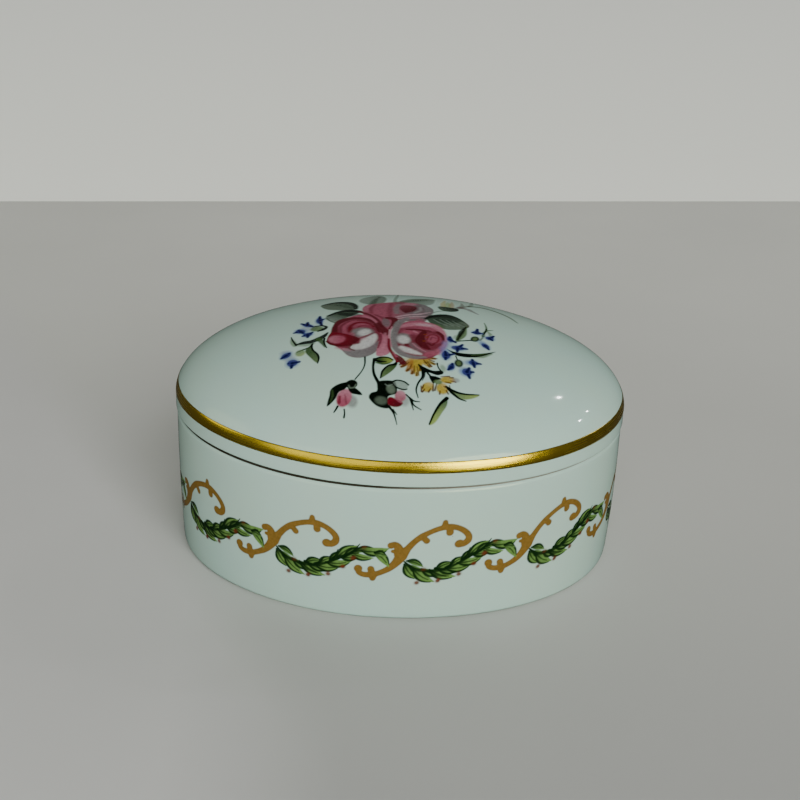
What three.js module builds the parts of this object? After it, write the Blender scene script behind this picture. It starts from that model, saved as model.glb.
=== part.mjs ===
// Oval porcelain trinket box with a lift-off domed lid, in millimetres, +Z up.
//
// The box stands on Z = 0 with its centre on the Z axis, and its long side runs along X.
// The bowl has a foot ring under it and a bare collar inside its rim, and the hollow lid
// drops over the collar. A fired-on gold band runs round the shoulder of the lid.
//
// Every piece is a stack of concentric oval rings. A ring is [semi-axis along X,
// semi-axis along Y, height], and one closed profile of rings makes one closed solid.

import * as THREE from 'three';

// Driving dimensions
const LENGTH = 100;
const WIDTH = 80;
const HALF_LENGTH = LENGTH / 2;
const HALF_WIDTH = WIDTH / 2;
const SEGMENTS = 72;

// Bowl
const RIM_Z = 32.3;
const RIM_ROUND = 1.2;
const RIM_INSET = 0.3;
const FOOT_INSET = 1.5;
const FOOT_ROUND = 1.0;
const FOOT_WIDTH = 3.4;
const FOOT_RECESS = 1.6;
const FLOOR_Z = 4.4;
const FLOOR_FILLET = 5;
const WALL_STEPS = 5;

// Collar inside the rim of the bowl, which keeps the lid in place
const COLLAR_HEIGHT = 4;
const COLLAR_THICKNESS = 1.8;
const COLLAR_CHAMFER = 0.4;
const COLLAR_CLEARANCE = 0.5;

// Lid
const SEAT_GAP = 0.3;
const SKIRT_Z = RIM_Z + SEAT_GAP;
const SKIRT_THICKNESS = 2.5;
const SKIRT_ROUND = 0.5;
const SPRING_Z = 35.8;
const DOME_RISE = 16.9;
const DOME_THICKNESS = 2.8;
const DOME_STEPS = 12;

// Gold band, laid on the shoulder of the lid where the skirt turns into the dome
const BAND_THICKNESS = 0.15;
const BAND_GAP = 0.05;
const BAND_INSET = 0.6;
const BAND_STEPS = 3;
// The angle on the lid's outer dome at which the band ends.
const BAND_TOP_ANGLE = Math.acos(1 - BAND_INSET / HALF_LENGTH);

// One ring that keeps the same distance from the widest outline all the way round.
function insetRing(inset, z) {
  return [HALF_LENGTH - inset, HALF_WIDTH - inset, z];
}

// A quarter-round run of rings from one ring to another. It leaves along Z when
// risesFirst is true, and sideways when it is false.
function quarterRound(start, end, risesFirst, steps = 3) {
  const rings = [];
  for (let i = 1; i <= steps; i += 1) {
    const angle = (i / steps) * (Math.PI / 2);
    const side = risesFirst ? 1 - Math.cos(angle) : Math.sin(angle);
    const rise = risesFirst ? Math.sin(angle) : 1 - Math.cos(angle);
    rings.push([
      THREE.MathUtils.lerp(start[0], end[0], side),
      THREE.MathUtils.lerp(start[1], end[1], side),
      THREE.MathUtils.lerp(start[2], end[2], rise),
    ]);
  }
  return rings;
}

// Revolves the rings' X semi-axes and heights, then draws each ring in to its own
// Y semi-axis. The profile starts and ends on the axis, or closes on itself.
function ovalSolid(rings) {
  const profile = rings.map(([semiX, , z]) => new THREE.Vector2(semiX, z));
  const geometry = new THREE.LatheGeometry(profile, SEGMENTS);
  geometry.rotateX(Math.PI / 2);
  geometry.rotateZ(Math.PI / 2);
  const position = geometry.attributes.position;
  for (let i = 0; i < position.count; i += 1) {
    const [semiX, semiY] = rings[i % rings.length];
    if (semiX > 0) position.setY(i, (position.getY(i) * semiY) / semiX);
  }
  geometry.computeVertexNormals();
  return geometry;
}

// How far the bowl's outer wall stands inside the widest outline: it draws in gently
// towards the foot.
function wallInset(z) {
  const drop = 1 - z / RIM_Z;
  return RIM_INSET + (FOOT_INSET - RIM_INSET) * drop ** 2;
}

// Underside, foot ring and outer wall of the bowl, from the axis up to the rounded rim.
function bowlOutside() {
  const footOuter = insetRing(FOOT_INSET + FOOT_ROUND, 0);
  const wallStart = insetRing(FOOT_INSET, FOOT_ROUND);
  const shoulderStart = insetRing(RIM_INSET, RIM_Z - RIM_ROUND);
  const shoulderEnd = insetRing(RIM_INSET + RIM_ROUND, RIM_Z);
  const rings = [
    [0, 0, FOOT_RECESS],
    insetRing(FOOT_INSET + FOOT_ROUND + FOOT_WIDTH + FOOT_RECESS / 2, FOOT_RECESS),
    insetRing(FOOT_INSET + FOOT_ROUND + FOOT_WIDTH, 0),
    footOuter,
    ...quarterRound(footOuter, wallStart, false),
  ];
  for (let i = 1; i < WALL_STEPS; i += 1) {
    const z = THREE.MathUtils.lerp(FOOT_ROUND, RIM_Z - RIM_ROUND, i / WALL_STEPS);
    rings.push(insetRing(wallInset(z), z));
  }
  rings.push(shoulderStart, ...quarterRound(shoulderStart, shoulderEnd, true));
  return rings;
}

// Collar, inner wall and floor of the bowl, from the rim in to the axis.
function bowlInside() {
  const outer = SKIRT_THICKNESS + COLLAR_CLEARANCE;
  const inner = outer + COLLAR_THICKNESS;
  const top = RIM_Z + COLLAR_HEIGHT;
  const wallFoot = insetRing(inner, FLOOR_Z + FLOOR_FILLET);
  const floorEdge = insetRing(inner + FLOOR_FILLET, FLOOR_Z);
  return [
    insetRing(outer, RIM_Z),
    insetRing(outer, top - COLLAR_CHAMFER),
    insetRing(outer + COLLAR_CHAMFER, top),
    insetRing(inner - COLLAR_CHAMFER, top),
    insetRing(inner, top - COLLAR_CHAMFER),
    wallFoot,
    ...quarterRound(wallFoot, floorEdge, true, 4),
    [0, 0, FLOOR_Z],
  ];
}

// A ring of a dome that springs from the given semi-axes: angle 0 is its edge and
// a quarter turn is its top.
function domeRing(semiX, semiY, springZ, rise, angle) {
  const spread = Math.cos(angle);
  return [semiX * spread, semiY * spread, springZ + rise * Math.sin(angle)];
}

// Rings of a dome from one angle to another. The top itself is a point on the axis.
function domeRings(semiX, semiY, springZ, rise, from, to, steps) {
  const rings = [];
  for (let i = 0; i <= steps; i += 1) {
    const angle = THREE.MathUtils.lerp(from, to, i / steps);
    const ring = domeRing(semiX, semiY, springZ, rise, angle);
    const onAxis = Math.abs(angle - Math.PI / 2) < 1e-9;
    rings.push(onAxis ? [0, 0, ring[2]] : ring);
  }
  return rings;
}

// Hollow lid: inner dome, skirt and outer dome in one profile. The surface under the
// gold band is cut back by the band's thickness and a small gap.
function lidRings() {
  const cut = BAND_THICKNESS + BAND_GAP;
  const innerX = HALF_LENGTH - SKIRT_THICKNESS;
  const innerY = HALF_WIDTH - SKIRT_THICKNESS;
  const innerRise = DOME_RISE - DOME_THICKNESS;
  const skirtFoot = insetRing(SKIRT_ROUND, SKIRT_Z);
  const skirtSide = insetRing(0, SKIRT_Z + SKIRT_ROUND);
  const underBand = domeRings(
    HALF_LENGTH - cut, HALF_WIDTH - cut, SPRING_Z, DOME_RISE, 0, BAND_TOP_ANGLE, BAND_STEPS,
  );
  return [
    ...domeRings(innerX, innerY, SPRING_Z, innerRise, Math.PI / 2, 0, DOME_STEPS),
    insetRing(SKIRT_THICKNESS, SKIRT_Z),
    skirtFoot,
    ...quarterRound(skirtFoot, skirtSide, false),
    insetRing(0, SPRING_Z),
    ...underBand,
    ...domeRings(
      HALF_LENGTH, HALF_WIDTH, SPRING_Z, DOME_RISE, BAND_TOP_ANGLE, Math.PI / 2, DOME_STEPS,
    ),
  ];
}

// Gold band: a thin closed ring that lies in the lid's cut-back strip with a small gap
// all round, and whose outer face carries on the line of the dome.
function bandRings() {
  const from = Math.asin(BAND_GAP / DOME_RISE);
  const to = Math.asin(Math.sin(BAND_TOP_ANGLE) - BAND_GAP / DOME_RISE);
  const outer = domeRings(
    HALF_LENGTH, HALF_WIDTH, SPRING_Z, DOME_RISE, from, to, BAND_STEPS,
  );
  const inner = domeRings(
    HALF_LENGTH - BAND_THICKNESS, HALF_WIDTH - BAND_THICKNESS,
    SPRING_Z, DOME_RISE, to, from, BAND_STEPS,
  );
  return [...outer, ...inner, outer[0]];
}

function porcelain() {
  return new THREE.MeshStandardMaterial({ color: 0xe4efe8, roughness: 0.12, metalness: 0 });
}

function gilding() {
  return new THREE.MeshStandardMaterial({ color: 0xb98a35, roughness: 0.3, metalness: 1 });
}

function namedMesh(name, rings, material) {
  const mesh = new THREE.Mesh(ovalSolid(rings), material);
  mesh.name = name;
  return mesh;
}

const box = new THREE.Group();
box.add(namedMesh('base', [...bowlOutside(), ...bowlInside()], porcelain()));

const lid = new THREE.Group();
lid.add(namedMesh('lid', lidRings(), porcelain()));
lid.add(namedMesh('gold_band', bandRings(), gilding()));
box.add(lid);

export default box;
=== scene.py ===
"""Looks of an oval porcelain trinket box: glazed base and domed lid, gilded band, painted flowers."""
import math

import bpy
import numpy as np
from mathutils import Matrix, Vector


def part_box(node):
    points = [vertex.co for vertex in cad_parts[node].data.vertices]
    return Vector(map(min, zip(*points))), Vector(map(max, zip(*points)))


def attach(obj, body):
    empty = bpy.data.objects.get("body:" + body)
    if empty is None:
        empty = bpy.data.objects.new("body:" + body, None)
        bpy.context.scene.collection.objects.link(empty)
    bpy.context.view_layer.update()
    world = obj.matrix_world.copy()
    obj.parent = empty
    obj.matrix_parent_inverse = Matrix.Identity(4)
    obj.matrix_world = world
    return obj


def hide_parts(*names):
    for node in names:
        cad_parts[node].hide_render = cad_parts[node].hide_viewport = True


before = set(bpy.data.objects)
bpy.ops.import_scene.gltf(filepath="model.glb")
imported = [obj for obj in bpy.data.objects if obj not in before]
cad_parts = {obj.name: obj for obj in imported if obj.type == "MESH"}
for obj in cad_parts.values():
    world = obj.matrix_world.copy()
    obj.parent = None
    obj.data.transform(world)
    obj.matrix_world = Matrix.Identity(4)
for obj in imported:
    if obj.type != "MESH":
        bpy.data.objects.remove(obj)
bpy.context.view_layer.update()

# ---------------------------------------------------------------- dimensions
# Everything below is worked in millimetres and turned into metres when a mesh is made.
MM = 0.001


def box_mm(node):
    """The lowest and highest corner of a CAD node, in millimetres."""
    low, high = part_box(node)
    return low / MM, high / MM


lid_low, lid_high = box_mm("lid")
base_high = box_mm("base")[1]
band_low, band_high = box_mm("gold_band")

# Sizes that the CAD model gives.
HALF_LENGTH = lid_high.x
HALF_WIDTH = lid_high.y
TOP_Z = lid_high.z
SKIRT_Z = lid_low.z
COLLAR_TOP_Z = base_high.z

# The dome springs from the top of the skirt; the gilded band covers its foot.
BAND_GAP = 0.05
SPRING_Z = band_low.z - BAND_GAP
BAND_TOP_Z = band_high.z + BAND_GAP
DOME_RISE = TOP_Z - SPRING_Z

# The base: a seat that the lid's skirt rests over, a foot ring, a floor and a collar.
SEAT_GAP = 0.3
RIM_Z = SKIRT_Z - SEAT_GAP
RIM_ROUND = 1.2
RIM_INSET = HALF_LENGTH - base_high.x
FOOT_INSET = 1.5
FOOT_ROUND = 1.0
FOOT_WIDTH = 3.4
FOOT_RECESS = 1.6
FLOOR_Z = 4.4
FLOOR_FILLET = 5.0
COLLAR_CLEARANCE = 0.5
COLLAR_THICKNESS = 1.8
COLLAR_ROUND = 0.6

# The lid, and how far it drops per millimetre towards +X and +Y as it rests askew.
SKIRT_THICKNESS = 2.5
SKIRT_ROUND = 0.35
DOME_THICKNESS = 2.8
LID_TILT_X = 0.0050
LID_TILT_Y = 0.0010

# How finely the bodies are divided: round the oval, along a profile, and per quarter-round or dome.
SEGMENTS = 384
RING_STEP = 1.1
ARC_STEPS = 8
HALF_ARC = ARC_STEPS // 2
DOME_STEPS = 96
INNER_DOME_STEPS = 64
BAND_STEPS = 16
OUTLINE_STEPS = 7200
TINY = 1e-9

# Places in a body's list of materials.
GLAZE, BISQUE, INNER_GLAZE = 0, 1, 2


# ---------------------------------------------------------------- surfaces
def warp(points):
    """Moves points by the slight unevenness of a cast and fired piece, under a tenth of a millimetre."""
    x, y, z = points.T
    shift = np.empty_like(points)
    shift[:, 0] = 0.05 * np.sin(y / 9.0 + z / 7.0 + 0.4)
    shift[:, 1] = 0.05 * np.sin(x / 11.0 - z / 8.0 + 1.1)
    shift[:, 2] = 0.04 * np.sin(x / 8.5 + 0.8 * np.sin(y / 12.0)) + 0.03 * np.sin(y / 7.0 - x / 19.0 + 2.0)
    return points + shift


def lid_form(points):
    """The lid's points, warped; the lid rests slightly askew, with its front left higher."""
    moved = warp(points)
    moved[:, 2] -= LID_TILT_X * points[:, 0] + LID_TILT_Y * points[:, 1]
    return moved


def dome_point(x, y, offset=0.0):
    """Points of the lid's outer dome over (x, y), pushed out along its normal."""
    spread = np.sqrt(np.clip(1 - (x / HALF_LENGTH) ** 2 - (y / HALF_WIDTH) ** 2, 1e-6, 1))
    points = np.stack([x, y, SPRING_Z + DOME_RISE * spread], -1)
    normal = np.stack([x / HALF_LENGTH ** 2, y / HALF_WIDTH ** 2, spread / DOME_RISE], -1)
    normal /= np.linalg.norm(normal, axis=-1, keepdims=True)
    return points + normal * np.asarray(offset)[..., None]


def wall_inset(z):
    """How far the base's outer wall stands inside the lid's outline: it draws in towards the foot."""
    return RIM_INSET + (FOOT_INSET - RIM_INSET) * (1 - z / RIM_Z) ** 2


def outline_lengths(turn):
    """How far round the wall's outline at half its height each turn is, from the first one."""
    inset = wall_inset(RIM_Z / 2)
    outline = np.stack([(HALF_LENGTH - inset) * np.sin(turn), -(HALF_WIDTH - inset) * np.cos(turn)], 1)
    return np.concatenate([[0.0], np.cumsum(np.linalg.norm(np.diff(outline, axis=0), axis=1))])


OUTLINE_TURN = np.linspace(-math.pi, math.pi, OUTLINE_STEPS + 1)
OUTLINE_LENGTH = outline_lengths(OUTLINE_TURN)
PERIMETER = OUTLINE_LENGTH[-1]


def wall_point(u, z, offset=0.0):
    """Points of the base's outer wall, u millimetres round from the middle of the front."""
    along = np.mod(u + PERIMETER / 2, PERIMETER)
    turn = np.interp(along, OUTLINE_LENGTH, OUTLINE_TURN)
    reach = wall_inset(z) - np.asarray(offset)
    return np.stack([
        (HALF_LENGTH - reach) * np.sin(turn),
        -(HALF_WIDTH - reach) * np.cos(turn),
        z + 0 * turn,
    ], -1)


# ---------------------------------------------------------------- oval bodies
class Profile:
    """A body's profile, drawn stretch by stretch as a chain of rings. A ring is a half length, a half
    width, a height and the finish of the surface that leads up to it."""

    def __init__(self, rings, end):
        self.rings = rings
        self.end = end

    def line(self, end, finish):
        """Straight on to a ring, in even steps."""
        start = self.end
        steps = max(1, math.ceil(math.dist((start[0], start[2]), (end[0], end[2])) / RING_STEP))
        for i in range(1, steps + 1):
            self.rings.append(tuple(np.add(start, np.subtract(end, start) * (i / steps))) + (finish,))
        self.end = end

    def corner(self, end, rises_first, finish, bare=()):
        """A quarter-round to a ring, along Z first or sideways first. The steps in bare have lost
        their glaze."""
        start = self.end
        for i in range(ARC_STEPS):
            angle = (i + 1) / ARC_STEPS * math.pi / 2
            side = 1 - math.cos(angle) if rises_first else math.sin(angle)
            rise = math.sin(angle) if rises_first else 1 - math.cos(angle)
            part = [a + (b - a) * share for a, b, share in zip(start, end, (side, side, rise))]
            self.rings.append((*part, BISQUE if i in bare else finish))
        self.end = end


def inset_ring(inset, z):
    """A ring's half length, half width and height, inset from the lid's outline."""
    return (HALF_LENGTH - inset, HALF_WIDTH - inset, z)


def dome_rings(inset, rise, start, end, steps, finish):
    """Rings of a dome that springs at SPRING_Z; angle 0 is its edge and a quarter turn its top."""
    rings = []
    for i in range(steps + 1):
        angle = start + (end - start) * i / steps
        spread = math.cos(angle)
        if spread < TINY:
            spread = 0.0
        rings.append(((HALF_LENGTH - inset) * spread, (HALF_WIDTH - inset) * spread,
                      SPRING_Z + rise * math.sin(angle), finish))
    return rings


def base_rings():
    """The base's profile, from the middle of its underside out, up and in to the middle of its floor."""
    foot_out = FOOT_INSET + FOOT_ROUND
    foot_in = foot_out + FOOT_WIDTH
    shoulder_z = RIM_Z - RIM_ROUND
    collar_out = SKIRT_THICKNESS + COLLAR_CLEARANCE
    collar_in = collar_out + COLLAR_THICKNESS
    collar_side_z = COLLAR_TOP_Z - COLLAR_ROUND
    middle = (0.0, 0.0, FOOT_RECESS)
    profile = Profile([middle + (GLAZE,)], middle)
    profile.line(inset_ring(foot_in + FOOT_RECESS, FOOT_RECESS), GLAZE)
    profile.corner(inset_ring(foot_in, 0), False, GLAZE)
    profile.line(inset_ring(foot_out, 0), BISQUE)
    profile.corner(inset_ring(FOOT_INSET, FOOT_ROUND), False, GLAZE)
    steps = math.ceil((shoulder_z - FOOT_ROUND) / RING_STEP)
    for i in range(1, steps):
        z = FOOT_ROUND + (shoulder_z - FOOT_ROUND) * i / steps
        profile.rings.append(inset_ring(wall_inset(z), z) + (GLAZE,))
    profile.end = inset_ring(RIM_INSET, shoulder_z)
    profile.rings.append(profile.end + (GLAZE,))
    profile.corner(inset_ring(RIM_INSET + RIM_ROUND, RIM_Z), True, GLAZE, range(HALF_ARC, ARC_STEPS))
    profile.line(inset_ring(collar_out, RIM_Z), BISQUE)
    profile.line(inset_ring(collar_out, collar_side_z), BISQUE)
    profile.corner(inset_ring(collar_out + COLLAR_ROUND, COLLAR_TOP_Z), True, BISQUE)
    profile.line(inset_ring(collar_in - COLLAR_ROUND, COLLAR_TOP_Z), BISQUE)
    profile.corner(inset_ring(collar_in, collar_side_z), False, BISQUE)
    profile.line(inset_ring(collar_in, COLLAR_TOP_Z - 2 * COLLAR_ROUND), BISQUE)
    profile.line(inset_ring(collar_in, FLOOR_Z + FLOOR_FILLET), INNER_GLAZE)
    profile.corner(inset_ring(collar_in + FLOOR_FILLET, FLOOR_Z), True, INNER_GLAZE)
    profile.line((0, 0, FLOOR_Z), INNER_GLAZE)
    return profile.rings


def lid_rings():
    """The lid's profile, from the middle of its inside out, round the skirt and back to its top."""
    top = math.pi / 2
    hollow = dome_rings(SKIRT_THICKNESS, DOME_RISE - DOME_THICKNESS, top, 0, INNER_DOME_STEPS, INNER_GLAZE)
    profile = Profile(hollow, inset_ring(SKIRT_THICKNESS, SPRING_Z))
    profile.line(inset_ring(SKIRT_THICKNESS, SKIRT_Z + SKIRT_ROUND), INNER_GLAZE)
    profile.corner(inset_ring(SKIRT_THICKNESS - SKIRT_ROUND, SKIRT_Z), True, BISQUE)
    profile.line(inset_ring(SKIRT_ROUND, SKIRT_Z), BISQUE)
    profile.corner(inset_ring(0, SKIRT_Z + SKIRT_ROUND), False, GLAZE, range(HALF_ARC))
    profile.line(inset_ring(0, SPRING_Z), GLAZE)
    return profile.rings + dome_rings(0, DOME_RISE, 0, top, DOME_STEPS, GLAZE)[1:]


def band_rings():
    """The gilding's profile: a thin raised strip on the dome's shoulder with soft edges."""
    height, sunk, edge_slope = 0.06, -0.03, 9
    outer, inner = [], []
    end = math.asin((BAND_TOP_Z - SPRING_Z) / DOME_RISE)
    for i in range(BAND_STEPS + 1):
        angle = end * i / BAND_STEPS
        edge = min(i, BAND_STEPS - i) / BAND_STEPS
        rise = height * min(1.0, math.sqrt(edge * edge_slope)) if edge else sunk / 2
        spread, z = math.cos(angle), SPRING_Z + DOME_RISE * math.sin(angle)
        for rings, out in ((outer, rise), (inner, sunk)):
            rings.append((HALF_LENGTH * spread + out, HALF_WIDTH * spread + out, z, 0))
    return outer + inner[::-1]


def write_mesh(name, points, faces, finishes=None, scale=MM):
    """A smooth mesh from points, in millimetres by default, and faces of 3 or 4 corners."""
    mesh = bpy.data.meshes.new(name)
    mesh.from_pydata((points * scale).tolist(), [], faces)
    mesh.polygons.foreach_set("use_smooth", [True] * len(faces))
    if finishes is not None:
        mesh.polygons.foreach_set("material_index", finishes)
    mesh.update()
    obj = bpy.data.objects.new(name, mesh)
    bpy.context.scene.collection.objects.link(obj)
    return obj


def oval_body(name, rings, form, closed=False):
    """Joins concentric oval rings into one body. A ring of no size is a single point on the axis."""
    turn = np.arange(SEGMENTS) / SEGMENTS * 2 * math.pi
    points, starts, sizes = [], [], []
    for semi_x, semi_y, z, _ in rings:
        starts.append(sum(sizes))
        if semi_x == 0:
            points.append(np.array([[0.0, 0.0, z]]))
        else:
            points.append(np.stack([semi_x * np.cos(turn), semi_y * np.sin(turn), z + 0 * turn], 1))
        sizes.append(len(points[-1]))
    faces, finishes = [], []
    pairs = [(a, a + 1) for a in range(len(rings) - 1)]
    if closed:
        pairs.append((len(rings) - 1, 0))
    for a, b in pairs:
        for i in range(SEGMENTS):
            j = (i + 1) % SEGMENTS
            if sizes[a] == 1:
                face = (starts[a], starts[b] + j, starts[b] + i)
            elif sizes[b] == 1:
                face = (starts[a] + i, starts[a] + j, starts[b])
            else:
                face = (starts[a] + i, starts[a] + j, starts[b] + j, starts[b] + i)
            faces.append(face)
            finishes.append(rings[b][3])
    return write_mesh(name, form(np.concatenate(points)), faces, finishes)


# ---------------------------------------------------------------- painting
# Reflectances of the enamels, from the roses' reds and greys to the garland's gold and greens.
PIGMENT = {
    "crimson": (0.16, 0.004, 0.014), "dark_red": (0.10, 0.007, 0.013), "wine": (0.18, 0.028, 0.048),
    "rust": (0.22, 0.035, 0.008), "rose": (0.34, 0.082, 0.132), "pink": (0.46, 0.18, 0.245),
    "blush": (0.50, 0.34, 0.39), "white": (0.54, 0.54, 0.54), "mauve": (0.17, 0.125, 0.14),
    "shadow": (0.19, 0.18, 0.185), "pearl": (0.33, 0.33, 0.33), "bay": (0.058, 0.092, 0.062),
    "sage": (0.125, 0.17, 0.125), "mist": (0.22, 0.28, 0.245), "black_green": (0.0008, 0.004, 0.0012),
    "moss": (0.04, 0.085, 0.025), "leaf": (0.105, 0.17, 0.065), "lime": (0.24, 0.32, 0.06),
    "navy": (0.003, 0.004, 0.05), "blue": (0.034, 0.042, 0.19), "sky": (0.10, 0.18, 0.44),
    "lilac": (0.22, 0.23, 0.38), "yellow": (0.42, 0.31, 0.04), "butter": (0.50, 0.38, 0.12),
    "ochre": (0.34, 0.17, 0.03), "umber": (0.07, 0.022, 0.008), "gold": (0.24, 0.135, 0.027),
    "gold_deep": (0.19, 0.10, 0.014), "garland_light": (0.15, 0.285, 0.07),
    "garland_mid": (0.11, 0.22, 0.055), "garland_dark": (0.004, 0.02, 0.004),
    "berry": (0.15, 0.035, 0.014),
}

# How finely curves and paintings are divided, and when a point changes hands (see Painting).
SPAN_STEPS = 8
ENAMEL_STEP = 0.12
OWNED_SHARE = 0.5
OWNED_COVER = 0.6
FAINTEST = 1e-6
NOTHING = 1e-12
FAR = 1e9

# An enamel sheet's depth under and over the glaze, in millimetres, and the cover at which it is
# fully over it. Less cover than BARE is left out.
UNDER_GLAZE = -0.006
OVER_GLAZE = 0.012
FULL_COVER = 0.12
BARE = 0.015


def smooth_path(points, closed=False):
    """A curve through given points (Catmull-Rom)."""
    p = np.asarray(points, float)
    if closed:
        p = np.concatenate([p[-1:], p, p[:2]])
    else:
        p = np.concatenate([2 * p[:1] - p[1:2], p, 2 * p[-1:] - p[-2:-1]])
    t = np.arange(SPAN_STEPS)[:, None] / SPAN_STEPS
    spans = []
    for a, b, c, d in zip(p[:-3], p[1:-2], p[2:-1], p[3:]):
        spans.append(0.5 * (2 * b + (c - a) * t + (2 * a - 5 * b + 4 * c - d) * t ** 2
                            + (3 * b - a - 3 * c + d) * t ** 3))
    if not closed:
        spans.append(p[-2:-1])
    return np.concatenate(spans)


def to_segment(u, v, start, end):
    """Distances of points (u, v) from a straight stretch, and how far along it they are, 0 to 1."""
    du, dv = end[0] - start[0], end[1] - start[1]
    along = np.clip(((u - start[0]) * du + (v - start[1]) * dv) / (du * du + dv * dv + NOTHING), 0, 1)
    return np.hypot(u - start[0] - along * du, v - start[1] - along * dv), along


def shade(pigment, fade=None):
    """The colour at each painted point: plain, or shading into a second pigment."""
    base = np.array(PIGMENT[pigment])
    if fade is None:
        return lambda u, v: base
    other, start, end = np.array(PIGMENT[fade[0]]), np.array(fade[1]), np.array(fade[2])
    along = end - start

    def paint(u, v):
        t = ((u - start[0]) * along[0] + (v - start[1]) * along[1]) / (along @ along)
        return base + (other - base) * np.clip(t, 0, 1)[..., None]

    return paint


class Painting:
    """A fine grid of points that enamel is laid on: each point has a colour, how much enamel
    covers it, and which piece of the decoration it belongs to. A point goes over to a later
    piece whose paint makes up OWNED_SHARE of its cover, which counts up to OWNED_COVER."""

    def __init__(self, low, high, step, period=None):
        self.low = np.array(low, float)
        self.step = step
        self.period = period
        columns, rows = np.round((np.array(high) - self.low) / step).astype(int) + 1
        if period:
            columns = round(period / step)
        self.step_u = period / columns if period else step
        self.u = self.low[0] + np.arange(columns) * self.step_u
        self.v = self.low[1] + np.arange(rows) * step
        self.rgb = np.zeros((rows, columns, 3))
        self.cover = np.zeros((rows, columns))
        self.owner = np.full((rows, columns), -1)
        self.pieces = []
        self.piece = 0

    def start(self, name):
        """What is painted from here on belongs to the piece of this name."""
        if name not in self.pieces:
            self.pieces.append(name)
        self.piece = self.pieces.index(name)

    def repeat(self, count):
        """Repeats a periodic painting side by side."""
        self.u = self.low[0] + np.arange(len(self.u) * count) * self.step_u
        self.rgb = np.tile(self.rgb, (1, count, 1))
        self.cover = np.tile(self.cover, (1, count))
        self.owner = np.tile(self.owner, (1, count))
        self.period *= count

    def lay(self, low, high, distance, paint, opacity, soft):
        """Lays paint where the signed distance is negative, with an edge that is soft wide."""
        for shift in ((-self.period, 0, self.period) if self.period else (0,)):
            i0 = max(0, math.floor((low[0] + shift - soft - self.low[0]) / self.step_u))
            i1 = min(len(self.u), math.ceil((high[0] + shift + soft - self.low[0]) / self.step_u) + 1)
            j0 = max(0, math.floor((low[1] - soft - self.low[1]) / self.step))
            j1 = min(len(self.v), math.ceil((high[1] + soft - self.low[1]) / self.step) + 1)
            if i0 >= i1 or j0 >= j1:
                continue
            u, v = np.meshgrid(self.u[i0:i1] - shift, self.v[j0:j1])
            amount = np.clip(0.5 - distance(u, v) / soft, 0, 1)
            amount = amount * amount * (3 - 2 * amount) * opacity
            part = (slice(j0, j1), slice(i0, i1))
            total = self.cover[part] + amount * (1 - self.cover[part])
            share = np.where(total > FAINTEST, amount / np.maximum(total, FAINTEST), 0)[..., None]
            self.rgb[part] += (paint(u, v) - self.rgb[part]) * share
            self.cover[part] = total
            mine = amount > OWNED_SHARE * np.minimum(total, OWNED_COVER)
            self.owner[part] = np.where(mine, self.piece, self.owner[part])

    def stroke(self, points, widths, pigment, opacity=1.0, soft=0.25):
        """A brush line through points; widths are full widths, spread evenly along it."""
        path = smooth_path(points)
        widths = np.atleast_1d(np.asarray(widths, float))
        half = np.interp(np.linspace(0, 1, len(path)), np.linspace(0, 1, len(widths)), widths) / 2

        def distance(u, v):
            best = np.full(u.shape, FAR)
            for start, end, thick, next_thick in zip(path[:-1], path[1:], half[:-1], half[1:]):
                away, along = to_segment(u, v, start, end)
                np.minimum(best, away - thick - along * (next_thick - thick), out=best)
            return best

        reach = half.max()
        self.lay(path.min(0) - reach, path.max(0) + reach, distance, shade(pigment), opacity, soft)

    def shape(self, points, pigment, opacity=1.0, soft=0.35, fade=None):
        """A filled outline through points. fade = (pigment, from point, to point) shades it across."""
        path = smooth_path(points, closed=True)

        def distance(u, v):
            best = np.full(u.shape, FAR)
            inside = np.zeros(u.shape, bool)
            for start, end in zip(path, np.roll(path, -1, 0)):
                np.minimum(best, to_segment(u, v, start, end)[0], out=best)
                if start[1] != end[1]:
                    slope = (end[0] - start[0]) / (end[1] - start[1])
                    crossing = start[0] + slope * (v - start[1])
                    inside ^= ((start[1] > v) != (end[1] > v)) & (u < crossing)
            return np.where(inside, -best, best)

        self.lay(path.min(0), path.max(0), distance, shade(pigment, fade), opacity, soft)

    def dab(self, centre, radii, pigment, turn=0.0, opacity=1.0, soft=0.35, fade=None):
        """An oval touch of the brush, turned by some degrees."""
        c, s = math.cos(math.radians(turn)), math.sin(math.radians(turn))

        def distance(u, v):
            du, dv = u - centre[0], v - centre[1]
            return (np.hypot((du * c + dv * s) / radii[0], (dv * c - du * s) / radii[1]) - 1) * min(radii)

        middle, reach = np.array(centre), max(radii)
        self.lay(middle - reach, middle + reach, distance, shade(pigment, fade), opacity, soft)

    def leaf(self, base, tip, width, light, dark, bend, edge, line):
        """A pointed leaf, shaded dark at its base, with a rib and a dark line along one edge. bend
        curves it, as a share of its length; line is how thick its dark lines are."""
        base, tip = np.array(base, float), np.array(tip, float)
        along = tip - base
        side = np.array([-along[1], along[0]])
        t = np.linspace(0, 1, 9)
        middle = base + t[:, None] * along + (np.sin(math.pi * t) * bend)[:, None] * side
        half = (np.sin(math.pi * t ** 0.85) ** 0.9 * width / 2)[:, None] * side / np.linalg.norm(side)
        left, right = middle + half, middle - half
        self.shape(np.concatenate([left, right[-2:0:-1]]), light, soft=0.25,
                   fade=(dark, base + 0.45 * along, base - 0.1 * along))
        outline = left if edge > 0 else right
        self.stroke(outline[:8], [line * 0.6, line * 1.3, line, line * 0.5], dark, 0.95)
        self.stroke(middle[:7:2], [line * 0.9, line * 0.5], dark, 0.8)


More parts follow.
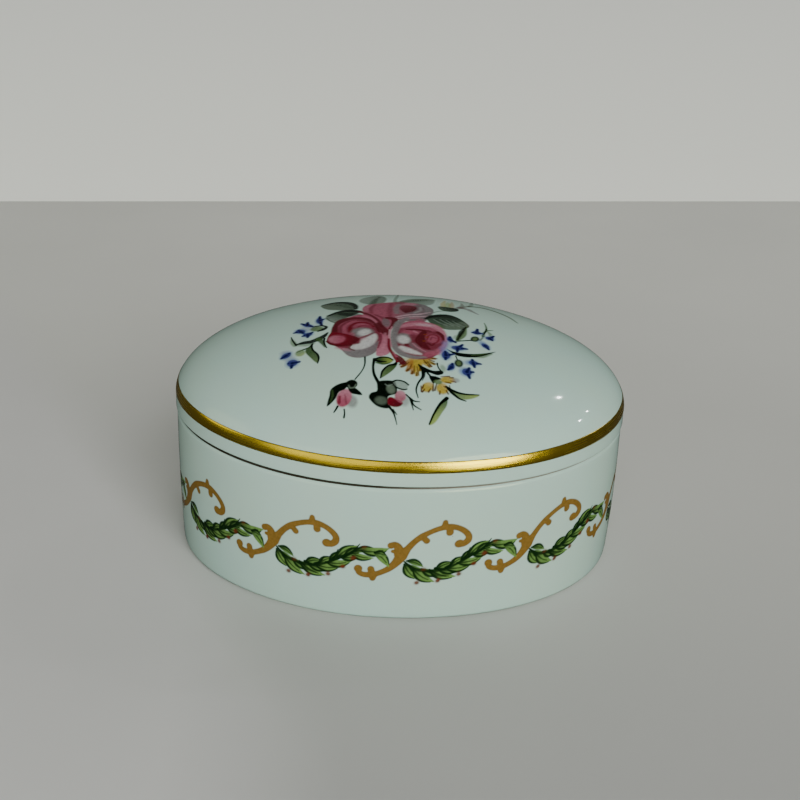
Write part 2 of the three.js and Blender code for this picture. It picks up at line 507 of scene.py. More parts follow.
def sheet_normals(place, u, v):
    """The glaze's own normals at some points, so that a sheet's edges don't catch the light."""
    flat, step = 0 * u, 0.05
    across = place(u + step, v, flat) - place(u - step, v, flat)
    up = place(u, v + step, flat) - place(u, v - step, flat)
    normals = np.cross(across, up)
    return normals / np.linalg.norm(normals, axis=1, keepdims=True)


def enamel_pieces(painting, place):
    """Turns a painting into one sheet per piece. A sheet's bare margin lies just under the glaze and
    its painted part just over it, so that its edge is the painted outline."""
    rows, columns = painting.cover.shape
    j, i = np.meshgrid(np.arange(rows - 1), np.arange(columns if painting.period else columns - 1),
                       indexing="ij")
    beside = (i + 1) % columns
    corners = np.stack([j * columns + i, j * columns + beside, (j + 1) * columns + beside,
                        (j + 1) * columns + i], -1).reshape(-1, 4)
    cover = painting.cover.ravel()
    corners = corners[cover[corners].max(1) > BARE]
    owner = painting.owner.ravel()[corners].max(1)
    u = np.tile(painting.u, rows)
    v = np.repeat(painting.v, columns)
    lift = UNDER_GLAZE + (OVER_GLAZE - UNDER_GLAZE) * np.clip(cover / FULL_COVER, 0, 1)
    made = []
    for index, name in enumerate(painting.pieces):
        used, faces = np.unique(corners[owner == index], return_inverse=True)
        obj = write_mesh(name, place(u[used], v[used], lift[used]), faces.reshape(-1, 4).tolist())
        pigment = obj.data.attributes.new("pigment", "FLOAT_VECTOR", "POINT")
        pigment.data.foreach_set("vector", painting.rgb.reshape(-1, 3)[used].astype(np.float32).ravel())
        layer = obj.data.attributes.new("cover", "FLOAT", "POINT")
        layer.data.foreach_set("value", cover[used].astype(np.float32))
        obj.data.normals_split_custom_set_from_vertices(sheet_normals(place, u[used], v[used]).tolist())
        made.append(obj)
    return made


# ---------------------------------------------------------------- garland
# How many times the motif goes round the wall, and where the front one's crossing is.
MOTIFS = 10
CROSSING_U = 0.4


def garland_sway(u):
    """How much the hand-laid garland rides up or down, most of all between its crossings."""
    turn = 2 * math.pi * u / PERIMETER
    between = np.sin(MOTIFS / 2 * (turn - 2 * math.pi * CROSSING_U / PERIMETER)) ** 2
    sway = np.sin(turn) + 0.5 * np.sin(2 * turn)
    return np.where(sway > 0, 0.8 * between, 0.4 + 0.4 * between) * sway


def on_wall(u, z, lift):
    """Enamel on the base's wall, u measured from the crossing of a motif."""
    round_wall = u + CROSSING_U
    return warp(wall_point(round_wall, z + garland_sway(round_wall), lift))


def paint_scroll(p):
    """One gilded S scroll: a low curl, a swelling where the next motif starts, an arc and a hook,
    with small spurs. It is laid twice, a deeper gold showing as a rim round the upper coat."""
    p.start("garland_scrolls")
    ends = (((-8.8, 12.8), (0.75, 0.75)), ((12.4, 18.4), (0.9, 0.8)))
    curl = [(-8.8, 12.8), (-8.6, 11.9), (-7.7, 11.4), (-6.5, 11.35), (-5.1, 11.6), (-3.5, 12.3),
            (-2.1, 13.2), (-0.8, 14.6), (0.2, 16.2)]
    arc = [(0.2, 16.2), (1.5, 18), (2.8, 19.6), (4.3, 20.9), (6.1, 21.9), (8.1, 22.6), (10.1, 22.8),
           (11.9, 22.3), (13.4, 21.3), (14.3, 20.1), (14.2, 19), (13.3, 18.3), (12.5, 18.4)]
    lines = (
        (curl, [1, 1, 1, 1.1, 1, 1, 1.2, 1.6, 2.2]),
        (arc, [2.2, 1.2, 1.05, 1.1, 0.9, 0.95, 1.1, 0.95, 1, 1.1, 1.3, 1.2, 1.2]),
        ([(-0.3, 16.6), (-0.4, 18), (-1.1, 18.9), (-2, 18.7)], [1.8, 1.6, 1.1, 1.2]),
        ([(-0.4, 17.1), (-1.6, 17.3)], [0.9, 0.5]),
        ([(9.1, 23), (9.1, 24)], [1.3, 0.8]),
        ([(4.3, 20.6), (4.9, 20.3), (5.4, 19.8)], [0.9, 1, 1.1]),
        ([(10.1, 22.4), (10.2, 21.4)], [1.2, 1.3]),
        ([(-5.7, 11.4), (-5.7, 10.5)], [1.7, 1]),
        ([(-5.9, 11.9), (-6.1, 12.8)], [1.2, 1.2]),
    )
    for pigment, extra, soft in (("gold_deep", 0.35, 0.3), ("gold", 0, 0.5)):
        for centre, radii in ends:
            p.dab(centre, np.add(radii, extra / 2), pigment, soft=soft)
        for path, widths in lines:
            p.stroke(path, np.add(widths, extra), pigment, soft=soft)


def paint_swag(p):
    """One leafy swag with berries, hung from a crossing to just short of the next."""
    p.start("garland_leaves")
    light, mid, dark = "garland_light", "garland_mid", "garland_dark"
    bend, line = 0.08, 0.5
    p.stroke([(0.9, 14.8), (2.8, 13.3), (5.9, 12.3), (9, 12.3), (12, 13.4), (15.2, 15.3), (17.7, 16.9),
            (21.3, 17), (23, 16.6)], [0.4, 0.7, 0.9, 1.2, 1.2, 0.9, 0.6, 0.5, 0.3], dark)
    leaves = [
        ((0.9, 14.1), (3.8, 10.4), 1.8, light, -1), ((1.4, 15), (5, 13.4), 1.3, mid, 1),
        ((1.9, 14), (5.6, 12.3), 1.4, mid, -1), ((2.8, 13), (7.5, 9.5), 2, light, -1),
        ((4.6, 13), (9, 11.2), 1.6, mid, -1), ((6.3, 12.7), (12.1, 10.3), 2, light, -1),
        ((8, 12.8), (13.2, 11.9), 1.5, mid, -1), ((7.6, 12.6), (11.4, 13.9), 1.4, mid, 1),
        ((9.8, 12.7), (15.4, 12.9), 1.8, light, -1), ((10.6, 13), (14, 15), 1.3, light, 1),
        ((12.2, 13.7), (17.9, 14.6), 1.7, light, -1), ((13, 14.2), (16.4, 16.4), 1.4, mid, 1),
        ((14.6, 15), (19, 18.4), 1.8, light, 1), ((15.2, 15.4), (19.6, 16), 1.4, mid, -1),
        ((17.5, 16.6), (22.5, 15.5), 1.5, light, -1), ((16.2, 15.9), (20.8, 17.4), 1.5, mid, 1),
        ((18.4, 16.9), (23.2, 17.5), 1.4, mid, 1), ((19.8, 17.2), (25.7, 18), 2, light, -1),
        ((22.6, 16.9), (25.7, 13.4), 1.8, light, 1), ((22.6, 16.8), (25.2, 16), 1.2, mid, 1),
    ]
    for base, tip, width, tint, edge in leaves:
        p.leaf(base, tip, width, tint, dark, bend * edge, edge, line)
    twigs = ([(9.8, 12.8), (11, 13.6), (11.8, 15)], [(13.7, 14.6), (14.3, 15.6), (14.8, 17.1)],
             [(17.7, 16.6), (18.6, 17.6), (19.4, 18.8)], [(16, 15.4), (17.6, 16.3), (19.2, 16.6)],
             [(7.5, 12.9), (9, 12.6), (10.8, 12.5)])
    for path in twigs:
        p.stroke(path, [0.7, 0.4, 0.25], dark)
    p.stroke([(6.6, 12.2), (7.8, 11.2), (10, 10.6)], [1, 0.7, 0.3], dark, 0.8)
    p.stroke([(13.4, 14.4), (15.2, 15.4), (17.2, 16)], [0.9, 0.8, 0.4], dark, 0.8)
    p.stroke([(1, 14.2), (3.4, 12.9), (6.4, 12.3), (9.6, 12.5), (12.6, 13.7), (15.6, 15.4), (18, 16.7)],
            [0.5, 0.8, 0.7, 0.7, 0.6, 0.6, 0.4], dark, 0.9)
    p.start("garland_berries")
    berries = (((3.7, 9.5), 0.85), ((8.2, 9.7), 0.9), ((12.7, 10.8), 0.85), ((15.9, 13), 0.9),
               ((18.1, 15.3), 0.9), ((5.1, 12.9), 0.4), ((20.4, 18.1), 0.4))
    for centre, amount in berries:
        dark_side = ("umber", centre, np.add(centre, (0.5, -0.4)))
        p.dab(centre, (0.7, 0.6), "berry", 15, 0.5 * amount, 0.7)
        p.dab(centre, (0.48, 0.42), "berry", 15, amount, 0.35, dark_side)


def paint_garland():
    """The whole garland round the base."""
    p = Painting((0, 8), (0, 27), ENAMEL_STEP, PERIMETER / MOTIFS)
    paint_scroll(p)
    paint_swag(p)
    p.repeat(MOTIFS)
    return enamel_pieces(p, on_wall)


# ---------------------------------------------------------------- bouquet
def on_dome(x, y, lift):
    """Enamel on the lid's dome."""
    return lid_form(dome_point(x, y, lift))


def paint_back_leaves(p):
    """Soft grey-green leaves and stems behind the roses."""
    p.start("rose_leaves")
    p.shape([(-6.8, 11.5), (-9.3, 13.5), (-10, 16.5), (-8.6, 20), (-5.6, 22.8), (-4, 20.5), (-3.6, 16.5),
            (-4.8, 12.5)], "sage", 0.85, 0.9, ("mist", (-5, 16), (-10, 17)))
    p.stroke([(-6.9, 12), (-6.3, 16), (-5.2, 20.5)], [1.6, 1.3, 0.5], "bay", 0.75, 1)
    p.shape([(-1, 14.3), (0.5, 17.3), (3.5, 19.5), (7.2, 19.9), (7.4, 17.5), (6.8, 14), (5, 12.3),
            (2.5, 13.3)], "sage", 0.85, 0.9, ("mist", (4.2, 16.5), (6.5, 14.5)))
    p.stroke([(0.2, 14.9), (2.8, 16.7), (5.8, 18.6)], [1.2, 2, 0.6], "bay", 0.6, 1)
    p.stroke([(-1.8, 13), (-1.7, 17), (-1.2, 21), (-0.8, 26)], [1.1, 0.9, 0.9, 0.5], "sage", 0.7, 0.7)
    p.shape([(-18.3, 14), (-14.8, 16), (-11.6, 14.6), (-10.3, 11), (-11, 8.2), (-14, 8.2), (-17, 9.5),
            (-18.4, 12)], "sage", 1, 0.6, ("bay", (-16, 11), (-13, 14)))
    p.stroke([(-18, 14), (-15.2, 15.4), (-12.4, 14.3), (-10.8, 11.5), (-10.6, 8.8)],
            [0.8, 1.3, 1.5, 1.4, 1], "black_green", 0.85, 0.8)
    p.stroke([(-16.4, 13.8), (-14, 12), (-11.6, 9.4)], [0.5, 0.9, 0.7], "bay", 0.8, 0.5)
    p.shape([(-9.3, 6.8), (-12.3, 8.2), (-15.6, 6.6), (-17.4, 3.6), (-16.4, 1.4), (-15, 0.2), (-12.5, 3)],
            "bay", 1, 0.6, ("mist", (-14, 5), (-17, 1.5)))
    p.stroke([(-16.8, 4.9), (-14.4, 7), (-12.2, 7.6), (-9.6, 6.4)], [0.8, 1.3, 1.9, 1.4], "black_green",
            0.9, 0.7)
    p.stroke([(-13.8, 5.6), (-11.6, 4.8), (-10, 4.4)], [1.6, 2.4, 1.4], "black_green", 0.7, 1)
    p.stroke([(-17, 3.2), (-16.2, 1.4), (-15, 0.3)], [0.3, 0.35, 0.3], "bay", 0.8)
    p.stroke([(6.6, 6.8), (7.6, 8), (9, 9)], [0.5, 0.7, 0.5], "sage", 0.7, 0.5)


def paint_veined_leaf(p):
    """The broad leaf on the right, with pale veins scratched into it."""
    p.start("rose_leaves")
    p.shape([(5, 3.6), (7.2, 5.8), (10, 6.5), (12.4, 4.8), (14.4, 0.8), (13.4, -1.2), (11, -2.4),
            (8.6, -2.4), (6.2, -0.5)], "bay", 1, 0.5, ("black_green", (9, 1.2), (9.3, 6.4)))
    p.shape([(9, -2.3), (12.8, -1.7), (14.2, 0.8), (13, 2.6), (11.4, 1.4), (9, 0.4)], "sage", 0.8, 0.9)
    p.dab((7.5, -1.2), (1.5, 0.9), "leaf", -30, 0.6, 0.9)
    p.stroke([(4.8, 2.6), (6.6, 4.4), (8.6, 5.2)], [0.7, 1.1, 0.6], "black_green", 0.9, 0.5)
    for start in ((6.6, 2.6), (8, 2.9), (9.4, 2.7), (10.8, 2.6)):
        end = (start[0] + 3, start[1] - 3.1)
        p.stroke([start, (start[0] + 1.3, start[1] - 1.8), end], [0.18, 0.3, 0.15], "mist", 0.6, 0.35)
        p.stroke([np.add(start, (0.6, 0)), np.add(end, (0.5, 0.4))], [0.3, 0.2], "black_green", 0.6, 0.4)
    p.stroke([(13.4, 3), (14.4, 1), (13.8, -0.6)], [0.3, 0.35, 0.3], "umber", 0.5, 0.4)


def paint_back_rose(p):
    """The rose at the back, turned away, blurred into mauve on its right."""
    p.start("roses")
    p.shape([(-9.2, 8.5), (-8.3, 11.4), (-5.2, 13.2), (-2.4, 14.2), (0.5, 14.3), (3, 13.8), (5, 12.5),
            (6.7, 9.5), (6.6, 6.5), (5.6, 3.6), (4.5, 0.8), (1, 0.5), (-3, 1.5), (-6.5, 2.8),
            (-8.6, 5.4)], "rose", 1, 0.7, ("mauve", (-3, 8), (2.5, 7.5)))
    p.stroke([(-7, 5), (-7.3, 8.5), (-6.4, 11.6)], [0.8, 1.1, 0.7], "wine", 0.65, 0.7)
    p.stroke([(-3, 3), (-3, 8), (-2.6, 13)], [1, 1.3, 0.8], "wine", 0.6, 0.9)
    p.stroke([(-8.2, 6.8), (-8.3, 9.5), (-7.2, 11.8)], [0.8, 1.1, 0.6], "pink", 0.55, 0.7)
    p.stroke([(-4.9, 3.5), (-5, 8), (-4, 12.6)], [1.2, 1.5, 0.9], "rose", 0.9, 0.9)
    p.stroke([(-1.5, 5.5), (-1.6, 9), (-0.8, 12.8)], [1.2, 1.4, 0.8], "shadow", 0.7, 0.8)
    p.dab((1.6, 12.8), (1.7, 1.1), "pink", 0, 0.8, 0.9)
    p.dab((-0.6, 13.8), (1.2, 1.3), "wine", 0, 0.5, 1)
    p.shape([(0.2, 6), (-0.8, 8.5), (-0.5, 10.8), (1, 11.6), (2.7, 11), (3.1, 9.3), (2.4, 7.3), (1, 6)],
            "wine", 0.95, 0.6, ("dark_red", (0.2, 10.5), (1.9, 8.5)))
    p.stroke([(4.4, 12.4), (5.6, 9.6), (5.5, 6.2)], [1.2, 1.8, 1.6], "shadow", 0.8, 0.9)
    p.stroke([(3.9, 10.4), (3.8, 8), (2.5, 5.9)], [0.6, 0.8, 0.6], "pearl", 0.55, 0.6)
    folds = (
        ([(-1.6, 3), (1, 4.5), (3.6, 5.3), (6, 7)], "blush", 0.8),
        ([(-1.2, 2.1), (1.2, 3.3), (4.2, 3.9), (5.6, 4.4)], "blush", 0.75),
        ([(-0.9, 2.6), (1.6, 3.9), (4.4, 4.6)], "mauve", 0.4),
        ([(-0.6, 0.9), (1.4, 2.3), (3.4, 2.9)], "pink", 0.6),
    )
    for path, pigment, width in folds:
        p.stroke(path, [width * 0.7, width, width, width * 0.5], pigment, 0.75, 0.5)
    p.dab((3.6, 1.2), (1, 1.3), "rose", 0, 0.6, 0.8)


def paint_left_rose(p):
    """The left rose: rings of petals round a pale heart, one petal turned out at the lower left."""
    p.start("roses")
    p.shape([(-15.7, -5.2), (-15.3, -1.5), (-14, 1.4), (-11.8, 3.4), (-9.4, 4.6), (-7.2, 3.2),
            (-5.4, -0.8), (-4.5, -4.5), (-4.6, -9), (-5.2, -12), (-6.6, -14.6), (-9.2, -16),
            (-11.6, -15.4), (-13.4, -12.8), (-14.8, -11.2), (-16.6, -8.8)], "rose", 1, 0.6, ("wine",
            (-10, 2), (-10, -4)))
    p.stroke([(-15.2, -5.2), (-15, -1.6), (-13.8, 1), (-11.4, 2.3), (-8.9, 1.9), (-6.9, 0.1),
            (-5.5, -2.8), (-4.7, -4.6)], [1.6, 1.2, 1.9, 1.6, 1.3, 1.1, 1.6, 2.3], "dark_red", 0.95, 0.5)
    p.stroke([(-13.4, -5.4), (-13.3, -1.8), (-11.6, 0.7), (-9, 0.9), (-7, -1.1)],
            [1.6, 1.4, 1.1, 1, 0.9], "wine", 0.9, 0.6)
    p.stroke([(-12.9, -5.5), (-13, -2.4), (-11.9, -0.2), (-10.6, 0.9)], [1, 0.9, 0.6, 0.4], "rose", 0.8,
            0.6)
    p.stroke([(-11.5, -5.6), (-11.7, -2.6), (-10.4, -0.4), (-8.4, -0.5), (-6.7, -2.6)],
            [1, 0.9, 0.8, 0.7, 0.7], "crimson", 0.95, 0.45)
    p.dab((-9.2, -2.4), (2, 1.5), "rose", 0, 0.85, 0.9, ("wine", (-9.2, -1.2), (-9.2, -4)))
    p.stroke([(-10.3, -3.6), (-9.4, -2), (-7.6, -2.2)], [0.5, 0.5, 0.3], "crimson", 0.5, 0.5)
    p.dab((-9, -5.4), (2.5, 2.3), "shadow", -20, 0.95, 1.2)
    p.dab((-11.6, -6.4), (1, 1.2), "rose", 0, 0.6, 0.9)
    p.dab((-8.6, -5.5), (1.3, 1.6), "white", -25, 1, 1.2)
    p.shape([(-13.2, -12.4), (-12, -15), (-9.4, -16.1), (-6.9, -15), (-5.5, -12.5), (-5.3, -9.5),
            (-7.2, -11.2), (-9.4, -12.7), (-11.6, -12.5)], "shadow", 1, 0.7, ("mauve", (-9, -15),
            (-6, -10)))
    p.shape([(-6.2, -6.2), (-5.8, -8.5), (-7, -11.4), (-9.4, -12.9), (-11.6, -12.4), (-11.3, -11.2),
            (-9.6, -10.4), (-9.2, -9), (-7.6, -7.2)], "white", 1, 0.9)
    p.dab((-8.9, -8.2), (1.2, 0.7), "blush", -30, 0.5, 0.9)
    p.stroke([(-6.9, -6), (-8.2, -7.2), (-10, -8.4)], [0.5, 0.75, 0.6], "wine", 0.8, 0.45)
    p.shape([(-15.8, -5), (-13.2, -5.6), (-10.8, -7.2), (-9.6, -8.4), (-10.3, -9.9), (-11.8, -10.9),
            (-14.2, -11.2), (-15.8, -10.2), (-16.7, -8.5)], "crimson", 1, 0.45, ("dark_red", (-13, -8),
            (-10, -9)))
    p.dab((-14.4, -8.1), (1.9, 1.9), "rose", 0, 0.9, 0.9, ("pink", (-13.6, -8), (-16.2, -8.2)))
    p.stroke([(-15.2, -6.2), (-13.4, -6.6), (-12.4, -8), (-12.8, -9.4)], [0.4, 0.6, 0.6, 0.4], "crimson",
            0.6, 0.6)
    p.stroke([(-16.7, -8.9), (-15.7, -10.2), (-13.8, -11), (-11.4, -11)], [0.5, 0.7, 0.8, 0.5],
            "dark_red", 0.95, 0.35)
    p.stroke([(-11.4, -10.9), (-11.7, -12.3), (-10.6, -13.3)], [0.6, 0.5, 0.25], "dark_red", 0.8)
    p.stroke([(-10.6, -10.2), (-9.8, -10.4)], [0.35, 0.25], "dark_red", 0.8)
    p.stroke([(-14.6, -11.9), (-12.9, -12.6), (-11.6, -13.2)], [0.7, 1, 0.5], "pink", 0.55, 0.9)


def paint_middle(p):
    """Folded petals between the roses and the long bud that hangs between them."""
    p.start("roses")
    p.shape([(-9.2, 5.4), (-6.2, 4.6), (-3.6, 3), (-1.6, 1.4), (-2.4, -2), (-3.4, -5), (-3.1, -10),
            (-3.2, -14.6), (-5.9, -15.3), (-5.4, -10), (-5.2, -5), (-6.2, -0.6)], "rose", 1, 0.45,
            ("pink", (-4, -6), (-4.5, -15)))
    p.stroke([(-9.8, 6.6), (-7.2, 3.8), (-5.5, 0.4), (-4.8, -2.4)], [1, 0.8, 0.7, 0.9], "dark_red", 0.9,
            0.45)
    p.stroke([(-8.9, 3.6), (-6.9, 1.6), (-5.9, -0.8)], [0.7, 0.6, 0.4], "pink", 0.55, 0.5)
    p.stroke([(-6.4, 4.4), (-4.8, 2.4), (-4.3, 0.6)], [0.6, 0.8, 0.4], "wine", 0.8, 0.5)
    p.dab((-3.9, -0.4), (0.9, 2.5), "mauve", 5, 0.9, 0.6)
    p.stroke([(-3.6, 2.3), (-2.1, 1.5), (-2.2, -1), (-3.1, -3.8)], [1.3, 1.6, 1.2, 0.7], "dark_red", 0.95,
            0.4)
    p.stroke([(-5.7, -0.8), (-4.9, -3), (-4.3, -4.8), (-3.9, -6.4)], [0.9, 1.6, 2.2, 1.2], "dark_red",
            0.95, 0.6)
    p.stroke([(-5.1, -6.6), (-5.1, -9.5), (-5.6, -12.4)], [0.7, 0.6, 0.35], "wine", 0.9, 0.4)
    p.stroke([(-4.1, -6), (-4.2, -10), (-4.6, -13.6)], [0.6, 0.8, 0.6], "pink", 0.6, 0.7)


def paint_right_rose(p):
    """The right rose: a thick grey-mauve brush round pink petals, with a dark heart."""
    p.start("roses")
    p.shape([(-2.4, -9), (-2.2, -4.5), (-0.6, -0.8), (2, 0.9), (5, 0.7), (7.8, -1.6), (9.2, -6), (9, -10),
            (7.8, -13.2), (5.6, -15.8), (2.5, -16.4), (-0.4, -15.2), (-2, -12.8)], "rose", 1, 0.5,
            ("wine", (3, -1), (1, -6)))
    p.stroke([(-1, -2.6), (2.2, -1), (5.5, -0.9), (7.9, -3), (8.9, -6.5), (8.8, -10.2), (7.2, -13.6)],
            [1.2, 1.8, 2, 1.7, 1.1, 1.2, 1.6], "pink", 0.9, 0.8)
    p.dab((4.6, -1.1), (1.9, 0.7), "blush", -5, 0.75, 0.9)
    p.stroke([(0.8, 2.2), (-1, -0.4), (-1.9, -4.2), (-2.3, -8), (-2, -11.8), (-0.4, -14.6),
            (2.2, -15.7), (4.6, -15.4)], [1.3, 1.7, 1.6, 1.5, 1.6, 1.6, 1.2, 0.7], "shadow", 0.95, 0.7)
    p.stroke([(-0.2, 0.6), (-1.4, -2.4), (-1.7, -5)], [0.9, 1.1, 0.6], "mauve", 0.6, 0.8)
    p.stroke([(-2.6, -2.6), (-3.1, -5.5), (-3.1, -9), (-2.7, -12)], [0.35, 0.5, 0.5, 0.3], "pink", 0.85,
            0.4)
    p.dab((1.3, -5.4), (1.9, 1.2), "rose", -10, 0.9, 0.9)
    p.dab((-0.2, -8.2), (1.9, 2.4), "shadow", 0, 0.95, 1)
    p.dab((2, -7.6), (0.9, 1.6), "wine", 10, 0.8, 0.8)
    p.dab((-0.1, -8.7), (1.3, 1.8), "white", 10, 1, 1.1)
    p.stroke([(0.6, -3.8), (3, -3.8), (5.6, -4.3)], [0.5, 0.8, 0.9], "dark_red", 0.95, 0.35)
    p.stroke([(2.2, -4.6), (3, -5.4)], [0.6, 0.4], "pink", 0.7, 0.5)
    p.shape([(2.1, -9), (3.3, -7.2), (3.8, -4.7), (6, -4.2), (7.9, -4.4), (8.8, -7.2), (8.2, -9.8),
            (6.6, -11.3), (5.4, -12.5), (3.6, -11)], "wine", 1, 0.5)
    p.stroke([(4.4, -4.8), (3.7, -7.2), (3.5, -9.2), (4.3, -11), (5.3, -12.1)], [1.2, 1.9, 2.3, 1.8, 0.8],
            "dark_red", 0.95, 0.5)
    p.stroke([(7.4, -4.4), (8.3, -5.8), (8.5, -7.8)], [0.9, 0.9, 0.6], "dark_red", 0.9, 0.4)
    p.dab((6.4, -7.6), (1.7, 2.2), "rose", 15, 0.75, 0.9)
    p.stroke([(5, -8.2), (5.4, -6.3), (6.6, -5.8), (7.5, -6.8), (7.3, -8.8), (6.2, -9.9)],
            [0.4, 0.5, 0.4, 0.5, 0.5, 0.4], "crimson", 0.75, 0.45)
    p.stroke([(5.7, -8.4), (6.1, -7), (6.9, -7.4)], [0.3, 0.4, 0.3], "wine", 0.8, 0.4)
    p.stroke([(5.2, -9.8), (6, -10.6), (6.6, -9.8)], [0.7, 0.6, 0.4], "dark_red", 0.8, 0.4)
    for bit in ((4.7, -5.9), (4.4, -8.9), (5, -7.1)):
        p.dab(bit, (0.45, 0.28), "rust", 20, 0.85, 0.35)
    p.shape([(1, -10.2), (2.3, -10), (4, -12.5), (6.2, -12.5), (8.3, -10.6), (8.4, -12), (6.6, -14.2),
            (3.6, -13.6), (1.6, -12)], "mauve", 0.75, 0.7, ("rose", (3, -12), (7.5, -12.6)))
    p.stroke([(1.8, -10.2), (3, -11.9), (4.6, -13.3)], [0.3, 0.45, 0.3], "pink", 0.6, 0.5)
    p.dab((0.5, -10.9), (0.5, 0.42), "dark_red", 20, 0.95, 0.45)
    p.stroke([(-0.5, -12.1), (0.8, -13.1), (2.3, -13.9), (3.6, -14.4)], [1.3, 1.9, 1.4, 0.6], "white", 1,
            0.9)
    p.dab((5.6, -14.2), (1.7, 1), "rose", 30, 0.8, 0.7)
    p.stroke([(-3.3, -8.6), (-3.2, -12), (-2.3, -15), (-1.3, -17.4)], [0.5, 0.7, 0.8, 0.9], "crimson",
            0.95, 0.4)
    p.stroke([(-1.7, -15), (-0.9, -16.3), (-0.2, -17.9)], [0.5, 1.3, 1.6], "dark_red", 0.95, 0.4)
    p.stroke([(-2.3, -13.9), (-1.6, -15.6)], [0.3, 0.7], "rose", 0.8, 0.4)


def blue_petal(p, centre, radii, turn, *tips):
    """A petal of cobalt in a pale wash, nearly black at its heart, with pointed tips."""
    p.dab(centre, np.multiply(radii, 1.3), "sky", turn, 0.4, 0.7)
    p.dab(centre, np.multiply(radii, 0.9), "blue", turn, 0.9, 0.4)
    for tip in tips:
        further = np.add(centre, np.subtract(tip, centre) * 1.35)
        p.stroke([centre, further], [1.2, 0.7], "blue", 0.9, 0.35)
        p.stroke([centre, further], [0.8, 0.35], "navy", 0.95, 0.35)


def paint_blue_flowers(p):
    """Forget-me-nots at both sides, each round a green eye."""
    p.start("blue_flowers")
    washes = (
        ((-20.8, -1.7), (1.9, 1.6), "lilac"), ((-25.4, -11.8), (1.2, 0.9), "lilac"),
        ((-24.4, -14.3), (1.2, 1.2), "lilac"), ((9.2, -9.4), (0.9, 1.2), "sky"),
        ((8.7, -11.7), (1, 1.3), "sky"), ((16.9, -6.9), (0.9, 0.9), "sky"),
        ((13.6, -16), (1, 0.9), "sky"), ((12.4, -19.2), (0.9, 1.2), "sky"),
    )
    for centre, radii, pigment in washes:
        p.dab(centre, radii, pigment, 0, 0.55, 1.3)
    petals = (
        ((-18.6, 2.2), (0.9, 2), 0, (-18.6, 4.2), (-18.2, 0.2), (-17.9, 2.8)),
        ((-21.2, 0.1), (1.4, 0.8), -40, (-22.2, 1.1), (-20.2, -0.8), (-21.2, 1.4)),
        ((-22.6, -2.9), (1.4, 1.1), -45, (-23.6, -3.2), (-22.9, -2.2), (-21.9, -4)),
        ((-20.9, -4.9), (1.2, 1), 40, (-21.7, -5.3), (-20.2, -4.2), (-20.9, -5.9)),
        ((-25.2, -13), (1.4, 1), 45, (-24.7, -12.4), (-25.9, -13.6)),
        ((-23.7, -16.1), (1.3, 1.4), 0, (-24.3, -16), (-23.8, -17.3), (-22.6, -16)),
        ((16, -2.5), (1.1, 1), 0, (16.2, -0.9), (15.3, -2.6), (16.8, -2.4)),
        ((18.8, -4.3), (1.1, 1), 30, (19.5, -3.2), (19.2, -4.9)),
        ((17.7, -8.2), (0.9, 1.3), 30, (18.2, -9.2), (17.6, -8)),
        ((10, -7.4), (0.7, 1.4), 10, (10, -6.4), (10.9, -8.2)),
        ((11.6, -10.7), (1.6, 1.1), 0, (13.1, -10.7), (12.4, -9.5), (11.5, -11.8)),
        ((9, -14.1), (1.1, 1.7), 0, (8.9, -15.3), (10.2, -13.6), (8.9, -13)),
        ((14.8, -15.8), (1.1, 1), 0, (16, -15.8), (14.7, -14.9), (15, -16.9)),
        ((13.4, -19.3), (1.2, 1.4), 0, (14.4, -19.1), (13.8, -20.7), (13.8, -18.2)),
        ((10.1, -18.2), (0.8, 1.3), -15, (10.3, -17.3), (9.6, -19)),
    )
    for petal in petals:
        blue_petal(p, *petal)
    p.dab((-19, -2.4), (1.5, 1.3), "leaf", 0, 0.9, 0.7)
    p.stroke([(-19.4, -0.9), (-17.9, -0.9), (-17, -1.8), (-17.6, -3), (-18.7, -3.7)],
            [0.6, 0.7, 0.8, 1, 0.6], "black_green", 0.95, 0.4)
    p.dab((-22.2, -12.7), (1.1, 1.3), "leaf", 0, 0.8, 0.7, ("lime", (-22.6, -12.2), (-21.8, -13.6)))
    for centre, turn in (((15.5, -5.7), -20), ((11.7, -16.6), 0)):
        p.dab(centre, (0.95, 1.4), "black_green", turn, 0.95, 0.5)
        p.dab(centre, (0.5, 0.85), "leaf", turn, 0.9, 0.5)


